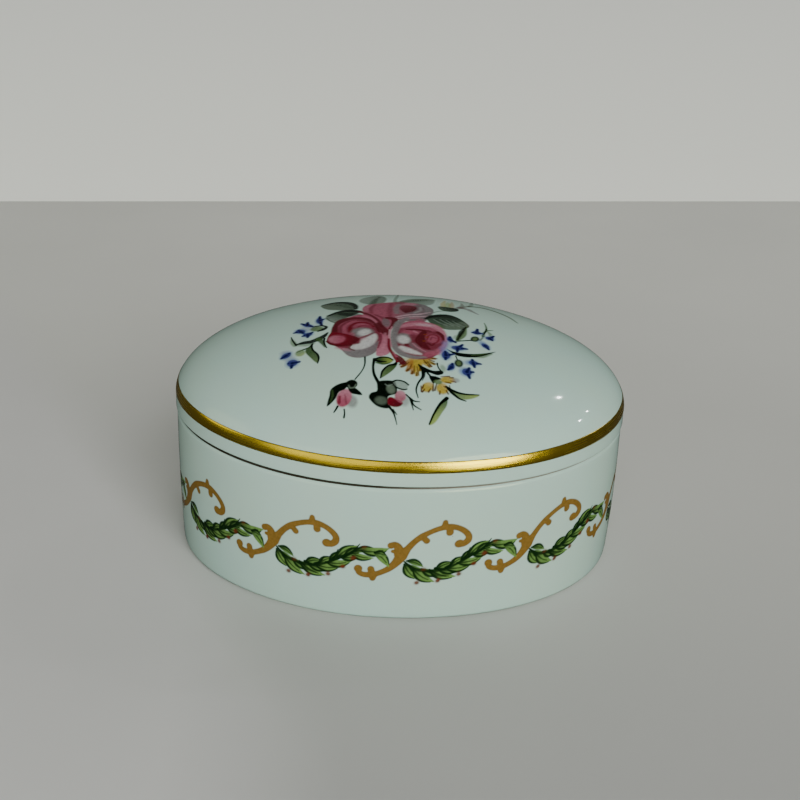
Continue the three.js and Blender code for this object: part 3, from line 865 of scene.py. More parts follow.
def paint_sprigs(p):
    """Stems and narrow leaves of the small flowers."""
    p.start("sprigs")
    dark = "black_green"
    p.shape([(-24.5, -6), (-24.6, -8), (-23.8, -9.8), (-23, -9.4), (-23.4, -7.6)], "leaf", 0.7, 0.6)
    p.stroke([(-24.5, -5.3), (-24, -7.2), (-23.2, -9.4)], [0.3, 0.4, 0.45], dark)
    p.stroke([(-22.8, -9.5), (-21, -9.8), (-19.4, -9.3)], [0.6, 1.1, 0.6], "leaf", 0.6, 0.8)
    p.stroke([(-23.2, -9), (-21.6, -8.6), (-20, -8.4), (-18.4, -7.4), (-17.3, -6.2), (-16.6, -4.8)],
            [0.6, 1.4, 1.5, 1.6, 1.2, 0.5], dark, 0.95, 0.45)
    p.stroke([(-18.4, -7.6), (-17.7, -9), (-17, -11.2)], [1.5, 1.2, 0.4], "moss", 0.9, 0.5)
    p.stroke([(-17.2, -7.4), (-17.2, -9.4), (-16.6, -11.6)], [0.5, 0.4, 0.3], dark)
    p.stroke([(-19.7, -9.4), (-20.2, -10.7), (-21.6, -11.5), (-22.9, -12.2)], [0.5, 0.6, 0.5, 0.3], dark)
    p.shape([(-20.8, -11), (-21.1, -12.6), (-19.9, -15), (-18.5, -17), (-18.1, -15.2), (-19, -13),
            (-19.8, -10.9)], "moss", 0.95, 0.4, ("leaf", (-20, -13), (-18.6, -16.5)))
    p.stroke([(-19.8, -9.8), (-19.6, -11.8), (-18.5, -13.8), (-18.1, -15.5), (-18.3, -17.2)],
            [0.4, 0.45, 0.5, 0.45, 0.3], dark)
    p.stroke([(11.2, -7.9), (13, -7.2), (14.8, -6.5)], [0.5, 0.45, 0.5], dark)
    p.stroke([(16.6, -6), (17.2, -4.6), (17.3, -3.4)], [0.5, 0.5, 0.4], "bay", 0.8, 0.4)
    p.stroke([(18, 4), (18.3, 1.5), (18.2, -0.6), (17.6, -2), (17.4, -3.8)], [0.3, 0.5, 0.6, 0.7, 0.8],
            "moss", 0.85, 0.45)
    p.stroke([(18.3, 0.6), (18, -1.2), (17.5, -2.8)], [0.3, 0.4, 0.4], dark, 0.9)
    p.stroke([(18.3, -0.5), (19, -0.1), (19.8, 0.3)], [0.4, 0.5, 0.2], "moss", 0.9)
    p.stroke([(18.6, -1), (19, -2), (18.9, -3)], [0.6, 1, 0.5], "leaf", 0.7, 0.6)
    p.shape([(13.8, 0.6), (12.8, -2.5), (11.6, -5.5), (11.2, -7.9), (12.8, -6.4), (13.7, -4.4),
            (13.9, -2)], "leaf", 0.9, 0.5)
    p.stroke([(13.7, -0.2), (12.6, -3.2), (11.6, -7)], [0.4, 1.2, 0.7], dark, 0.9, 0.45)
    p.dab((11.2, -5.9), (0.5, 1), "leaf", -15, 0.5, 0.6)
    p.stroke([(15.2, -13.5), (17, -12.9), (19, -11.2)], [0.6, 1, 0.4], "leaf", 0.75, 0.6)
    p.shape([(9.2, -11.6), (10.6, -12.3), (12.6, -12.6), (15, -12.3), (17.4, -11.4), (19.9, -10),
            (17.6, -12.2), (15, -13.7), (12.6, -14.1), (10.8, -13.5)], dark, 1, 0.35)
    p.stroke([(14.6, -13), (16.4, -12.2), (18, -11.3)], [0.4, 0.5, 0.2], "moss", 0.8, 0.4)
    p.stroke([(11.1, -14), (11.4, -15.3)], [0.35, 0.3], dark)


def paint_yellow_flowers(p):
    """Two yellow flowers with brown-ticked petals, their calyxes and leaves."""
    p.start("yellow_flowers")
    heart = (2.9, -15.6)
    rays = (((-0.5, -19.3), "ochre"), ((0.6, -20.6), "ochre"), ((1.7, -21.4), "ochre"),
            ((2.7, -21.9), "yellow"), ((3.4, -20.2), "yellow"), ((5.4, -18.8), "yellow"),
            ((6.4, -17.8), "yellow"), ((6.6, -15.8), "ochre"))
    for tip, pigment in rays:
        p.stroke([heart, np.add(heart, tip) / 2, tip], [1.4, 1.7, 0.8], pigment, 0.9, 0.5)
    for tip, _ in rays:
        inner = np.add(np.multiply(heart, 0.45), np.multiply(tip, 0.55))
        beside = np.add(tip, (0.45, 0.1))
        p.stroke([inner, beside], [0.25, 0.4], "umber", 0.7, 0.3)
        p.stroke([np.add(inner, np.multiply(tip, 2)) / 3, tip], [0.25, 0.45], "umber", 0.85, 0.3)
    p.stroke([(-0.6, -16.6), (2, -16.3), (4.8, -16)], [0.7, 0.9, 0.6], "butter", 0.6, 0.8)
    petals = (((5, -25.2), (1.2, 1.6), -35), ((8.1, -25.3), (1.3, 1.6), 0),
              ((9.2, -22.6), (1.6, 1.1), 10))
    for petal, radii, turn in petals:
        p.dab(petal, radii, "yellow", turn, 0.95, 0.6, ("butter", petal, np.add(petal, (0.8, 0.8))))
    ticks = (
        ((4.2, -24.6), (3.9, -25.6)), ((4.4, -25.8), (3.9, -26.7)), ((5.6, -25.6), (5.2, -26.6)),
        ((7.6, -26), (7.5, -26.9)), ((8.9, -25.7), (9.3, -26.6)), ((8.4, -24.6), (9.3, -25.2)),
        ((9.6, -21.9), (10.4, -21.7)), ((9.9, -22.8), (10.9, -23)), ((8.8, -23.3), (9.8, -23.5)),
        ((4.2, -16.6), (4.8, -17.6)), ((5, -17.2), (5.9, -18.6)), ((5.4, -16.4), (6.4, -16.8)),
        ((6.2, -24.2), (6.1, -26.2)), ((6.9, -23.9), (6.5, -26)), ((9.6, -24.2), (9.9, -26.2)),
        ((7.8, -21.8), (9.6, -21.4)), ((3.6, -25), (3.7, -26.6)), ((0.2, -17.2), (-0.9, -18.6)),
    )
    for tick in ticks:
        p.stroke(tick, [0.25, 0.45], "umber", 0.9, 0.3)
    p.dab((11, -22.4), (0.8, 0.7), "mauve", 0, 0.6, 0.7)
    p.start("sprigs")
    dark = "black_green"
    p.dab((8.3, -18.9), (0.6, 1.2), "leaf", 15, 0.6, 0.7)
    p.shape([(3, -18.1), (4.6, -19.2), (6.2, -20), (8.1, -19.8), (8.3, -20.8), (7, -21.4), (5.4, -20.8),
            (4.2, -20.7), (3.6, -20)], dark, 1, 0.3)
    p.stroke([(7.1, -17.3), (7.3, -18.8), (8, -20.2)], [0.35, 0.35, 0.4], dark)
    p.stroke([(4, -20.3), (3.9, -22.3), (3, -24.3), (2.6, -26.3), (3, -28.3)],
            [0.7, 0.5, 0.45, 0.4, 0.25], dark)
    p.stroke([(4.4, -20.6), (4.3, -22), (3.9, -23.4)], [0.5, 0.4, 0.2], dark, 0.9)
    p.stroke([(5, -20.9), (5.6, -21.9), (5.9, -22.6)], [0.5, 0.5, 0.7], dark)
    p.shape([(5.4, -21.9), (6.8, -21.8), (7.9, -22.5), (6.9, -23.1), (6.2, -24.1), (5.6, -23)], dark, 1,
            0.3)
    p.dab((7.2, -23.5), (0.9, 0.7), "leaf", 0, 0.9, 0.45)
    p.shape([(8.9, -24.7), (10.5, -25.8), (12.6, -26.1), (15.8, -25.8), (14.6, -26.9), (12.6, -27.6),
            (11, -27)], "leaf", 0.9, 0.4, ("lime", (11, -26), (15, -26.5)))
    p.stroke([(8.9, -24.6), (10.6, -25.7), (12.8, -26.1), (15.8, -25.7)], [0.5, 0.7, 0.5, 0.3], dark)
    p.stroke([(9.2, -25.2), (10.4, -26.5), (11.6, -27.5), (13, -27.9)], [0.5, 0.7, 0.5, 0.3], dark)
    p.shape([(9, -28), (9, -29.6), (8, -31.4), (6.6, -33.6), (5.3, -34.2), (6, -32), (7.2, -29.9)],
            "moss", 0.9, 0.35, ("lime", (8.8, -28.6), (6.6, -33.4)))
    p.stroke([(9, -27.8), (7.6, -29.4), (6.3, -31.8), (5.3, -34.1)], [0.9, 0.6, 0.45, 0.35], dark)
    p.dab((-4.2, -17.1), (1.9, 1.35), "moss", 0, 1, 0.4, ("lime", (-5, -17), (-2.8, -16.8)))
    p.stroke([(-6.3, -16.8), (-5, -16), (-3.4, -16.1), (-2.3, -17)], [0.6, 0.5, 0.45, 0.35], dark)
    p.stroke([(-6.2, -17), (-5.2, -17.5), (-3.8, -17.6)], [0.7, 0.7, 0.3], dark)
    p.stroke([(-5.9, -18), (-4.4, -18.5), (-3, -18.1)], [0.4, 0.5, 0.3], "moss", 0.9)
    p.shape([(-1.4, -18.2), (-3, -19), (-4.4, -20.8), (-4.9, -23), (-3.4, -21.8), (-2, -20)], "moss", 1,
            0.35, ("leaf", (-2, -19), (-4, -22)))
    p.stroke([(-1.5, -17.4), (-1.9, -18.4), (-3.3, -19), (-4.5, -20.8), (-4.9, -23)],
            [0.4, 0.8, 0.55, 0.5, 0.35], dark)


def paint_buds(p):
    """A pink and a red rosebud that hang at the front, and a yellow bud at the back right."""
    p.start("rosebuds")
    dark = "black_green"
    p.stroke([(-8.3, -15.9), (-8.3, -18.6), (-8.9, -20.8), (-10.2, -23.2)], [0.45, 0.35, 0.3, 0.35], dark)
    p.dab((-10.8, -29.1), (1.2, 1.6), "shadow", 20, 0.75, 0.9)
    p.dab((-12.4, -28.1), (1.6, 2.3), "rose", -12, 1, 0.5, ("pink", (-12.8, -29), (-12.2, -26.8)))
    p.stroke([(-13.3, -27.8), (-13.4, -29.2)], [0.5, 0.7], "crimson", 0.8, 0.45)
    p.stroke([(-12.2, -27.4), (-11.9, -29.6)], [0.3, 0.4], "wine", 0.6, 0.4)
    p.shape([(-11.5, -24), (-13.6, -24.3), (-15.2, -25.6), (-15.5, -27.4), (-15.9, -29.8),
            (-14.3, -28.4), (-13.5, -26.6), (-12.2, -25.8)], dark, 1, 0.35)
    p.stroke([(-14.9, -26), (-14.8, -27.4), (-15.2, -28.8)], [0.4, 0.5, 0.3], "moss", 0.7, 0.4)
    p.shape([(-11.6, -25.6), (-10, -25.8), (-8.6, -27.6), (-9.9, -27.5), (-11, -27)], dark, 1, 0.3)
    p.dab((-10.9, -24.6), (1.25, 1.3), dark, 0, 1, 0.35)
    p.stroke([(-11.5, -24.9), (-11.2, -25.6), (-10.3, -25.5), (-10, -24.7)], [0.3, 0.35, 0.35, 0.25],
            "sage", 0.9, 0.35)
    p.stroke([(-13.7, -30.1), (-14, -30.7), (-14.4, -31.3)], [0.5, 0.45, 0.3], dark)
    p.stroke([(-12.3, -30.9), (-12.2, -31.7), (-12.3, -32.6)], [0.35, 0.35, 0.45], dark)
    p.stroke([(-6.3, -16.6), (-6.5, -19.4), (-6.2, -22), (-5.2, -24.6)], [0.7, 0.55, 0.65, 0.8], dark)
    p.dab((0.2, -29.2), (1, 1.4), "shadow", 0, 0.6, 0.9)
    p.dab((-0.7, -28), (1.2, 1.5), "rose", 0, 0.9, 0.5, ("pink", (-1.2, -28.4), (-0.2, -27.2)))
    p.shape([(-5.5, -24.2), (-3.8, -23.7), (-2, -24), (-1.4, -25.8), (-1.6, -27.4), (-3.2, -28.2),
            (-3.2, -29.4), (-3.2, -31.1), (-5.5, -30.6), (-7.2, -28.6), (-6.8, -27.2), (-5.6, -26.6)],
            dark, 1, 0.35)
    p.dab((-2.7, -26.2), (0.9, 1.3), "sage", 15, 0.9, 0.6)
    p.dab((-4.7, -29.2), (1.3, 1), "sage", -20, 0.6, 0.7)
    p.stroke([(-3.9, -24.8), (-3.3, -25.3), (-2.4, -24.9)], [0.2, 0.3, 0.2], "mist", 0.6)
    p.shape([(-2.4, -23.7), (-0.8, -23.7), (0.9, -24.6), (0.5, -26.2), (-0.8, -26.2), (-1.6, -25.4)],
            "mist", 0.75, 0.4)
    p.stroke([(-2.5, -24.2), (-1.4, -23.6), (0.1, -24), (1, -24.9)], [0.5, 0.4, 0.4, 0.4], dark)
    p.stroke([(-1.7, -25.6), (-0.8, -26.1), (0.1, -26.3), (0.7, -26.1)], [0.4, 0.4, 0.4, 0.3], dark)
    p.shape([(-3.3, -28.7), (-2.6, -28.3), (-1.4, -29), (-0.2, -29.7), (-0.7, -30.6), (-2, -30.8),
            (-3.2, -30.2)], "crimson", 1, 0.4, ("dark_red", (-2.8, -29), (-1.4, -30)))
    p.stroke([(-1.9, -28.6), (-1, -29.4), (-0.3, -29.8)], [0.3, 0.35, 0.3], "rose", 0.7)
    p.stroke([(-3.1, -30.6), (-2.2, -31.9), (-1.8, -33), (-1.4, -34.5)], [0.6, 0.5, 0.35, 0.2], dark)
    p.stroke([(-2.2, -31.4), (-1.4, -32.5)], [0.4, 0.2], dark)
    p.stroke([(0.5, -27.6), (1.3, -28.5), (2.2, -29.2), (3.3, -29.3)], [0.35, 0.45, 0.4, 0.25], dark)
    p.stroke([(1.6, -28.8), (2.1, -30.2), (3.6, -31.2)], [0.5, 0.4, 0.25], dark)
    p.stroke([(1.2, -28.4), (1.6, -29.8), (2, -31.3)], [0.35, 0.35, 0.25], dark)
    p.stroke([(15, 16.2), (18, 17.2), (21, 15.8), (24, 12.6), (25.8, 9)], [1.2, 1.4, 1.2, 1, 0.6],
            "sage", 0.85, 0.8)
    p.stroke([(15.4, 16), (16, 20), (16.3, 25)], [1.1, 1.1, 0.6], "sage", 0.6, 0.8)
    yellow_bud = (
        ([(9.1, 12.4), (9.2, 15.5), (9.9, 20)], "yellow"),
        ([(11, 12.4), (11.2, 15.5), (11.4, 19)], "ochre"),
        ([(12.4, 12.4), (13.6, 15.5), (13.6, 19)], "umber"),
        ([(10, 12.6), (10.3, 15.4), (10.4, 18)], "lime"),
    )
    for path, pigment in yellow_bud:
        p.stroke(path, [1.3, 1.3, 0.4], pigment, 0.6, 0.8)
    p.stroke([(13, 13.4), (14.6, 12.8), (15.6, 11.4), (16.9, 9.6)], [1.5, 1.8, 1.2, 0.6], "mauve", 0.7,
            0.8)
    p.stroke([(13.2, 13.2), (14.6, 15.4), (15.2, 16.6)], [1.2, 1, 0.8], "umber", 0.5, 0.8)
    p.shape([(8.1, 12.5), (8, 10.5), (9.2, 8.9), (11, 8.9), (12.5, 10.3), (12.3, 12), (10.5, 12.5)],
            "bay", 1, 0.6, ("black_green", (9, 10), (12, 12)))


def paint_bouquet():
    """The whole bouquet on the lid, from the back flowers to the front ones."""
    p = Painting((-30, -36), (28, 27), ENAMEL_STEP)
    for paint in (paint_back_leaves, paint_back_rose, paint_veined_leaf, paint_left_rose, paint_middle,
                  paint_yellow_flowers, paint_right_rose, paint_sprigs, paint_blue_flowers, paint_buds):
        paint(p)
    return enamel_pieces(p, on_dome)


# ---------------------------------------------------------------- materials
class Graph:
    """A material's nodes, with short ways to add and join them."""

    def __init__(self, name):
        self.material = bpy.data.materials.new(name)
        self.material.use_nodes = True
        self.tree = self.material.node_tree
        self.shader = self.tree.nodes["Principled BSDF"]
        self.place = self.add("TexCoord").outputs["Object"]

    def add(self, kind, settings=None, inputs=None):
        node = self.tree.nodes.new("ShaderNode" + kind)
        for key, value in (settings or {}).items():
            setattr(node, key, value)
        for key, value in (inputs or {}).items():
            self.feed(node.inputs[key], value)
        return node

    def feed(self, socket, value):
        if isinstance(value, bpy.types.NodeSocket):
            self.tree.links.new(value, socket)
        else:
            socket.default_value = value

    def set(self, **inputs):
        """Sets the surface shader's inputs; spaces in their names are written as underscores."""
        for key, value in inputs.items():
            self.feed(self.shader.inputs[key.replace("_", " ")], value)

    def noise(self, scale, detail=2.0, stretch=(1, 1, 1)):
        place = self.place
        if stretch != (1, 1, 1):
            place = self.add("Mapping", None, {"Vector": place, "Scale": stretch}).outputs[0]
        node = self.add("TexNoise", None, {"Vector": place, "Scale": scale, "Detail": detail})
        return node.outputs["Fac"]

    def spread(self, value, low, high, to_low=0.0, to_high=1.0):
        inputs = {"Value": value, "From Min": low, "From Max": high, "To Min": to_low, "To Max": to_high}
        return self.add("MapRange", None, inputs).outputs["Result"]

    def math(self, operation, a, b):
        return self.add("Math", {"operation": operation}, {0: a, 1: b}).outputs[0]

    def mix(self, amount, a, b, blend="MIX"):
        node = self.add("Mix", {"data_type": "RGBA", "blend_type": blend})
        self.feed(node.inputs["Factor"], amount)
        self.feed(node.inputs[6], a)
        self.feed(node.inputs[7], b)
        return node.outputs[2]

    def bump(self, height, depth, strength=1.0):
        inputs = {"Height": height, "Distance": depth, "Strength": strength}
        return self.add("Bump", None, inputs).outputs["Normal"]


PORCELAIN = (0.545, 0.755, 0.675, 1)
PORCELAIN_WARM = (0.57, 0.745, 0.64, 1)
PORCELAIN_COOL = (0.52, 0.745, 0.69, 1)
WHITE_BODY = (0.73, 0.76, 0.74, 1)
SPECK = (0.16, 0.12, 0.08, 1)
SPECK_STRENGTH = 0.55
GLAZE_IOR = 1.5
BISQUE_LIGHT = (0.64, 0.62, 0.54, 1)
BISQUE_DARK = (0.52, 0.48, 0.40, 1)
# Colour of the painted shade in the joint between lid and base.
JOINT_SHADE = (0.05, 0.042, 0.031, 1)
GOLD_DEEP = (0.84, 0.565, 0.05, 1)
GOLD_BRIGHT = (0.94, 0.68, 0.075, 1)
GOLD_LINE = (0.55, 0.38, 0.04, 1)


def glaze_colour(g):
    """Milky white glaze with a green cast: it pools cooler and warmer, with a few iron specks."""
    pools = g.spread(g.noise(38, 3), 0.35, 0.65)
    tone = g.mix(0.5, PORCELAIN, g.mix(pools, PORCELAIN_COOL, PORCELAIN_WARM))
    cells = g.add("TexVoronoi", None, {"Vector": g.place, "Scale": 170, "Randomness": 1.0})
    dots = g.spread(cells.outputs["Distance"], 0.012, 0.03, 1, 0)
    cell = g.add("SeparateColor", None, {"Color": cells.outputs["Color"]}).outputs[0]
    specks = g.math("MULTIPLY", dots, g.spread(cell, 0.80, 0.84))
    return g.mix(g.math("MULTIPLY", specks, SPECK_STRENGTH), tone, SPECK)


def glaze_surface(g):
    """The glaze's gloss: nearly a mirror, with a faint orange-peel ripple."""
    g.set(Roughness=g.spread(g.noise(60, 4), 0.3, 0.7, 0.055, 0.11), IOR=GLAZE_IOR)
    g.set(Normal=g.bump(g.noise(190, 1), 0.00003, 0.5))


def make_glaze(name, thinned=0.0):
    """The glaze; thinned is how far it pales towards the white body under it."""
    g = Graph(name)
    g.set(Base_Color=g.mix(thinned, glaze_colour(g), WHITE_BODY))
    glaze_surface(g)
    return g.material


def make_bisque():
    """Unglazed porcelain on the foot, the seat and the collar: dry, grainy and a little warmer.
    Painted shade darkens the outer rim of the joint, more of it at the left, where it gapes."""
    g = Graph("porcelain_bisque")
    tone = g.mix(g.spread(g.noise(120, 5), 0.35, 0.7), BISQUE_LIGHT, BISQUE_DARK)
    x, y, z = g.add("SeparateXYZ", None, {"Vector": g.place}).outputs
    x = g.math("DIVIDE", x, (HALF_LENGTH - RIM_INSET) * MM)
    y = g.math("DIVIDE", y, (HALF_WIDTH - RIM_INSET) * MM)
    out = g.math("SQRT", g.math("ADD", g.math("MULTIPLY", x, x), g.math("MULTIPLY", y, y)), 0)
    # Painted shade: the outer rim of the joint is darkened, most at the left, where the gap is widest.
    off_joint = g.math("ABSOLUTE", g.math("SUBTRACT", z, (RIM_Z + SEAT_GAP / 2) * MM), 0)
    in_joint = g.spread(off_joint, 0.6 * MM, 1.1 * MM, 1.0, 0.0)
    joint_shade = g.math("MULTIPLY", in_joint, g.spread(out, 0.930, 0.958))
    joint_shade = g.math("MULTIPLY", joint_shade, g.spread(x, 0.25, -0.1, 0.45, 1.0))
    g.set(Base_Color=g.mix(joint_shade, tone, JOINT_SHADE), Roughness=0.75)
    g.set(Normal=g.bump(g.noise(5200, 3), 0.00006, 0.7))
    return g.material


def make_gilding():
    """Burnished bright gold: fine lines round the box, thin spots and a slightly uneven lustre."""
    g = Graph("gilding")
    cloud = g.noise(85, 4)
    lines = g.noise(900, 3, (0.12, 0.12, 6.0))
    grain = g.noise(2600, 2)
    tone = g.mix(g.spread(cloud, 0.3, 0.7), GOLD_DEEP, GOLD_BRIGHT)
    tone = g.mix(g.spread(lines, 0.25, 0.75, 0.0, 0.35), tone, GOLD_LINE)
    g.set(Base_Color=tone, Metallic=1.0)
    g.set(Roughness=g.spread(g.math("ADD", cloud, lines), 0.7, 1.3, 0.20, 0.30))
    g.set(Normal=g.bump(g.math("ADD", lines, g.math("MULTIPLY", grain, 0.6)), 0.00002, 0.8))
    return g.material


def make_enamel():
    """Enamel fired on the glaze: colour from the brushwork, streaky and thinner at its edges."""
    g = Graph("overglaze_enamel")
    pigment = g.add("Attribute", {"attribute_name": "pigment"}).outputs["Color"]
    cover = g.add("Attribute", {"attribute_name": "cover"}).outputs["Fac"]
    light = g.spread(g.noise(1500, 3), 0.3, 0.7, 0.86, 1.14)
    streaks = g.add("CombineColor", None, {0: light, 1: light, 2: light}).outputs[0]
    tone = g.mix(1.0, pigment, streaks, "MULTIPLY")
    grain = g.spread(g.noise(3800, 2), 0.3, 0.7, 0.985, 1.06)
    amount = g.add("Clamp", None, {"Value": g.math("MULTIPLY", cover, grain)}).outputs[0]
    g.set(Base_Color=g.mix(amount, glaze_colour(g), tone))
    g.set(Roughness=g.spread(cover, 0, 1, 0.075, 0.14), IOR=GLAZE_IOR, Specular_IOR_Level=0.1)
    return g.material


# The stage, in metres. The table's back edge runs aslant: its y grows by TABLE_SLOPE per x.
TABLE_BACK = (0.86, 0.855, 0.81, 1)
# The front tone is painted shade; the left tone is a painted patch of light.
TABLE_FRONT_SHADE = (0.475, 0.472, 0.468, 1)
TABLE_LEFT_LIGHT = (0.74, 0.73, 0.725, 1)
TABLE_MOTTLE = (0.56, 0.56, 0.545, 1)
TABLE_EDGE_Y = 0.2306
TABLE_SLOPE = 0.1015
TABLE_EDGE_ROUND = 0.010
TABLE_REACH = 3.0
TABLE_DROP = 0.05
WALL_Y = 0.80
WALL_HALF = 2.4
WALL_LOW_Z = -1.2
WALL_HIGH_Z = 1.6
WALL_LOW = (0.90, 0.905, 0.86, 1)
# The higher tone is painted shade.
WALL_HIGH_SHADE = (0.60, 0.60, 0.585, 1)
WALL_MOTTLE = (0.70, 0.70, 0.68, 1)


def make_table():
    """A pale satin table top, faintly mottled; painted shade greys it towards the front, and a painted
    patch of light makes it paler at the left, beside the box's shadow.
    """
    g = Graph("table_top")
    x, y, _ = g.add("SeparateXYZ", None, {"Vector": g.place}).outputs
    # Painted shade: the top greys towards the front.
    front = g.spread(y, 0.20, -0.12)
    # Painted light: a slanted patch at the left, beside the box's shadow, is paler.
    across = g.math("ADD", x, g.math("MULTIPLY", y, 0.5))
    left = g.math("MULTIPLY", g.spread(across, -0.044, -0.062), g.spread(x, -0.01, -0.045))
    mottle = g.spread(g.noise(11, 4), 0.3, 0.7, 0.0, 0.25)
    tone = g.mix(front, TABLE_BACK, TABLE_FRONT_SHADE)
    tone = g.mix(left, tone, TABLE_LEFT_LIGHT)
    tone = g.mix(mottle, tone, TABLE_MOTTLE)
    g.set(Base_Color=tone, Roughness=0.55)
    g.set(Normal=g.bump(g.noise(1200, 4), 0.00004, 0.3))
    return g.material


def make_wall():
    """A plain painted wall behind the table, with painted shade greying it higher up."""
    g = Graph("plain_wall")
    height = g.add("SeparateXYZ", None, {"Vector": g.place}).outputs[2]
    # Painted shade greys the wall higher up.
    tone = g.mix(g.spread(height, -0.22, -0.05), WALL_LOW, WALL_HIGH_SHADE)
    mottle = g.spread(g.noise(4, 3), 0.3, 0.7, 0.0, 0.2)
    g.set(Base_Color=g.mix(mottle, tone, WALL_MOTTLE), Roughness=0.8)
    return g.material


# ---------------------------------------------------------------- stage
CAMERA_PITCH = 25.10
CAMERA_ROLL = -2.40
CAMERA_YAW = 1.44
CAMERA_DISTANCE = 426.0
CAMERA_TARGET = (-0.08, 0, 33.8)
CAMERA_LENS = 85.44
CAMERA_SENSOR = 36.0


def make_camera():
    """A long lens from the front, looking down a little, set by its angles in degrees and its
    distance in millimetres to a point inside the box."""
    pitch, roll, yaw = (math.radians(angle) for angle in (CAMERA_PITCH, CAMERA_ROLL, CAMERA_YAW))
    forward = Vector((0, math.cos(pitch), -math.sin(pitch)))
    level_up = Vector((0, math.sin(pitch), math.cos(pitch)))
    side = Vector((1, 0, 0))
    right = math.cos(roll) * side - math.sin(roll) * level_up
    up = math.sin(roll) * side + math.cos(roll) * level_up
    turn = Matrix.Rotation(-yaw, 3, "Z")
    place = turn @ (Vector(CAMERA_TARGET) - CAMERA_DISTANCE * forward) * MM
    axes = Matrix([turn @ right, turn @ up, turn @ -forward]).transposed()
    camera = bpy.data.cameras.new("camera")
    camera.lens = CAMERA_LENS
    camera.sensor_width = CAMERA_SENSOR
    camera.clip_start = 0.01
    obj = bpy.data.objects.new("camera", camera)
    obj.matrix_world = Matrix.Translation(place) @ axes.to_4x4()
    bpy.context.scene.collection.objects.link(obj)
    bpy.context.scene.camera = obj


def area_light(name, place, target, size, power, tint, seen_by):
    """A lamp that looks at target; size is its width and height. Its light reaches "matt"
    surfaces, the reflections that "gloss" gives (as an oval lamp) or "both"."""
    data = bpy.data.lights.new(name, "AREA")
    data.shape = "ELLIPSE" if seen_by == "gloss" else "RECTANGLE"
    data.size, data.size_y = size
    data.energy = power
    data.color = tint
    obj = bpy.data.objects.new(name, data)
    obj.location = place
    obj.rotation_euler = (target - place).to_track_quat("-Z", "Y").to_euler()
    obj.visible_camera = False
    obj.visible_diffuse = seen_by != "gloss"
    obj.visible_glossy = seen_by != "matt"
    bpy.context.scene.collection.objects.link(obj)


def soft_light(name, azimuth, elevation, distance, size, power, tint, seen_by):
    """A lamp aimed at the box; azimuth is from the front towards +X."""
    a, e = math.radians(azimuth), math.radians(elevation)
    centre = Vector((0, 0, 0.03))
    away = Vector((math.sin(a) * math.cos(e), -math.cos(a) * math.cos(e), math.sin(e)))
    area_light(name, centre + distance * away, centre, size, power, tint, seen_by)


def wall_light(name, power, tint):
    """A broad lamp past the table's back edge that faces the wall and lights nothing else."""
    area_light(name, Vector((0, 0.42, 0.3)), Vector((0, WALL_Y, 0.3)), (3.6, 1.7), power, tint, "both")


def make_world(tint, strength):
    """Faint even light from all round."""
    world = bpy.data.worlds.new("studio")
    world.use_nodes = True
    sky = world.node_tree.nodes["Background"]
    sky.inputs["Color"].default_value = tint
    sky.inputs["Strength"].default_value = strength
    bpy.context.scene.world = world


def stage_mesh(name, corners, faces, material):
    """A part of the surroundings, from corners in metres. It doesn't show in reflections."""
    obj = write_mesh(name, np.array(corners), faces, scale=1.0)
    obj.data.materials.append(material)
    obj.visible_glossy = False


def make_stage():
    """A table with a rounded back edge, and a wall some way behind it."""
    steps = 12
    edge = []
    for i in range(steps + 1):
        angle = i / steps * math.pi / 2
        edge.append((TABLE_EDGE_Y + TABLE_EDGE_ROUND * math.sin(angle),
                     TABLE_EDGE_ROUND * (math.cos(angle) - 1)))
    edge.append((TABLE_EDGE_Y + TABLE_EDGE_ROUND, -TABLE_DROP))
    corners = [(-TABLE_REACH, -TABLE_REACH, 0.0), (TABLE_REACH, -TABLE_REACH, 0.0)]
    for y, z in edge:
        aslant = TABLE_SLOPE * TABLE_REACH
        corners += [(-TABLE_REACH, y - aslant, z), (TABLE_REACH, y + aslant, z)]
    faces = [(2 * i, 2 * i + 1, 2 * i + 3, 2 * i + 2) for i in range(len(edge))]
    stage_mesh("table", corners, faces, make_table())
    corners = [(x, WALL_Y, z) for x, z in ((-WALL_HALF, WALL_LOW_Z), (WALL_HALF, WALL_LOW_Z),
                                           (WALL_HALF, WALL_HIGH_Z), (-WALL_HALF, WALL_HIGH_Z))]
    stage_mesh("wall", corners, [(0, 1, 2, 3)], make_wall())


# ---------------------------------------------------------------- lights
DAYLIGHT = (0.98, 1.0, 0.95)
SUNLIT = (0.97, 1.0, 0.50)
WHITE = (1, 1, 1)
WALL_TINT = (0.98, 1.0, 0.93)
WALL_POWER = 14.2
WORLD_TINT = (0.97, 1.0, 0.95, 1)
WORLD_STRENGTH = 0.06
SPOT = (0.03, 0.03)

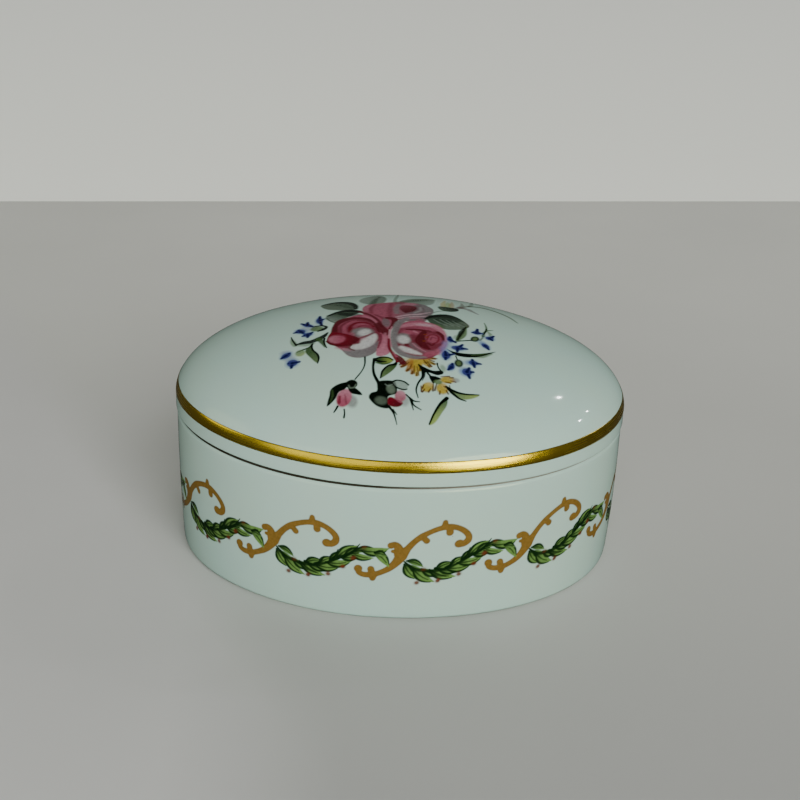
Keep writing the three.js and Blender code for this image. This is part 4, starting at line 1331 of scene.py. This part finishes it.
# Name, azimuth and elevation in degrees, distance and size in metres, watts, tint, what it reaches.
LIGHTS = (
    ("key", 13, 36, 1.4, (0.9, 0.8), 15.2, DAYLIGHT, "matt"),
    ("window_right", 16, 9, 1.3, (0.8, 0.36), 2.0, DAYLIGHT, "matt"),
    ("window_left", -19, 12, 1.3, (0.40, 0.40), 1.6, DAYLIGHT, "matt"),
    ("gloss_right", 33, 8, 1.3, (0.95, 0.75), 12.5, SUNLIT, "gloss"),
    ("gloss_left", -28, 8, 1.3, (1.50, 0.75), 3.3, SUNLIT, "gloss"),
    ("gloss_end", -85, 15, 1.3, (0.8, 0.6), 1.2, SUNLIT, "gloss"),
    ("lamp_1", 129.5, 42.2, 1.6, SPOT, 0.6, WHITE, "both"),
    ("lamp_2", 115.1, 28.4, 1.6, SPOT, 0.6, WHITE, "both"),
    ("lamp_3", 103.4, 28.5, 1.6, SPOT, 0.6, WHITE, "both"),
)

make_camera()
make_stage()
make_world(WORLD_TINT, WORLD_STRENGTH)
for light in LIGHTS:
    soft_light(*light)
wall_light("wall_wash", WALL_POWER, WALL_TINT)


# ---------------------------------------------------------------- the box
def finish_piece(obj, body, materials, slot, *nodes):
    """Gives a piece its materials, the body it rides and the CAD nodes it replaces; slot is not used."""
    for material in materials:
        obj.data.materials.append(material)
    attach(obj, body)
    if nodes:
        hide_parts(*nodes)


porcelain = [make_glaze("porcelain_glaze"), make_bisque(), make_glaze("porcelain_inner_glaze", 0.6)]
gilding = [make_gilding()]
enamel = [make_enamel()]

base = oval_body("porcelain_base", base_rings(), warp)
finish_piece(base, "base", porcelain, "porcelain_glaze", "base")
lid = oval_body("porcelain_lid", lid_rings(), lid_form)
finish_piece(lid, "lid", porcelain, "porcelain_glaze", "lid")
band = oval_body("gilded_band", band_rings(), lid_form, closed=True)
finish_piece(band, "lid", gilding, "gilding", "gold_band")
for sheet in paint_garland():
    finish_piece(sheet, "base", enamel, "overglaze_enamel")
for sheet in paint_bouquet():
    finish_piece(sheet, "lid", enamel, "overglaze_enamel")
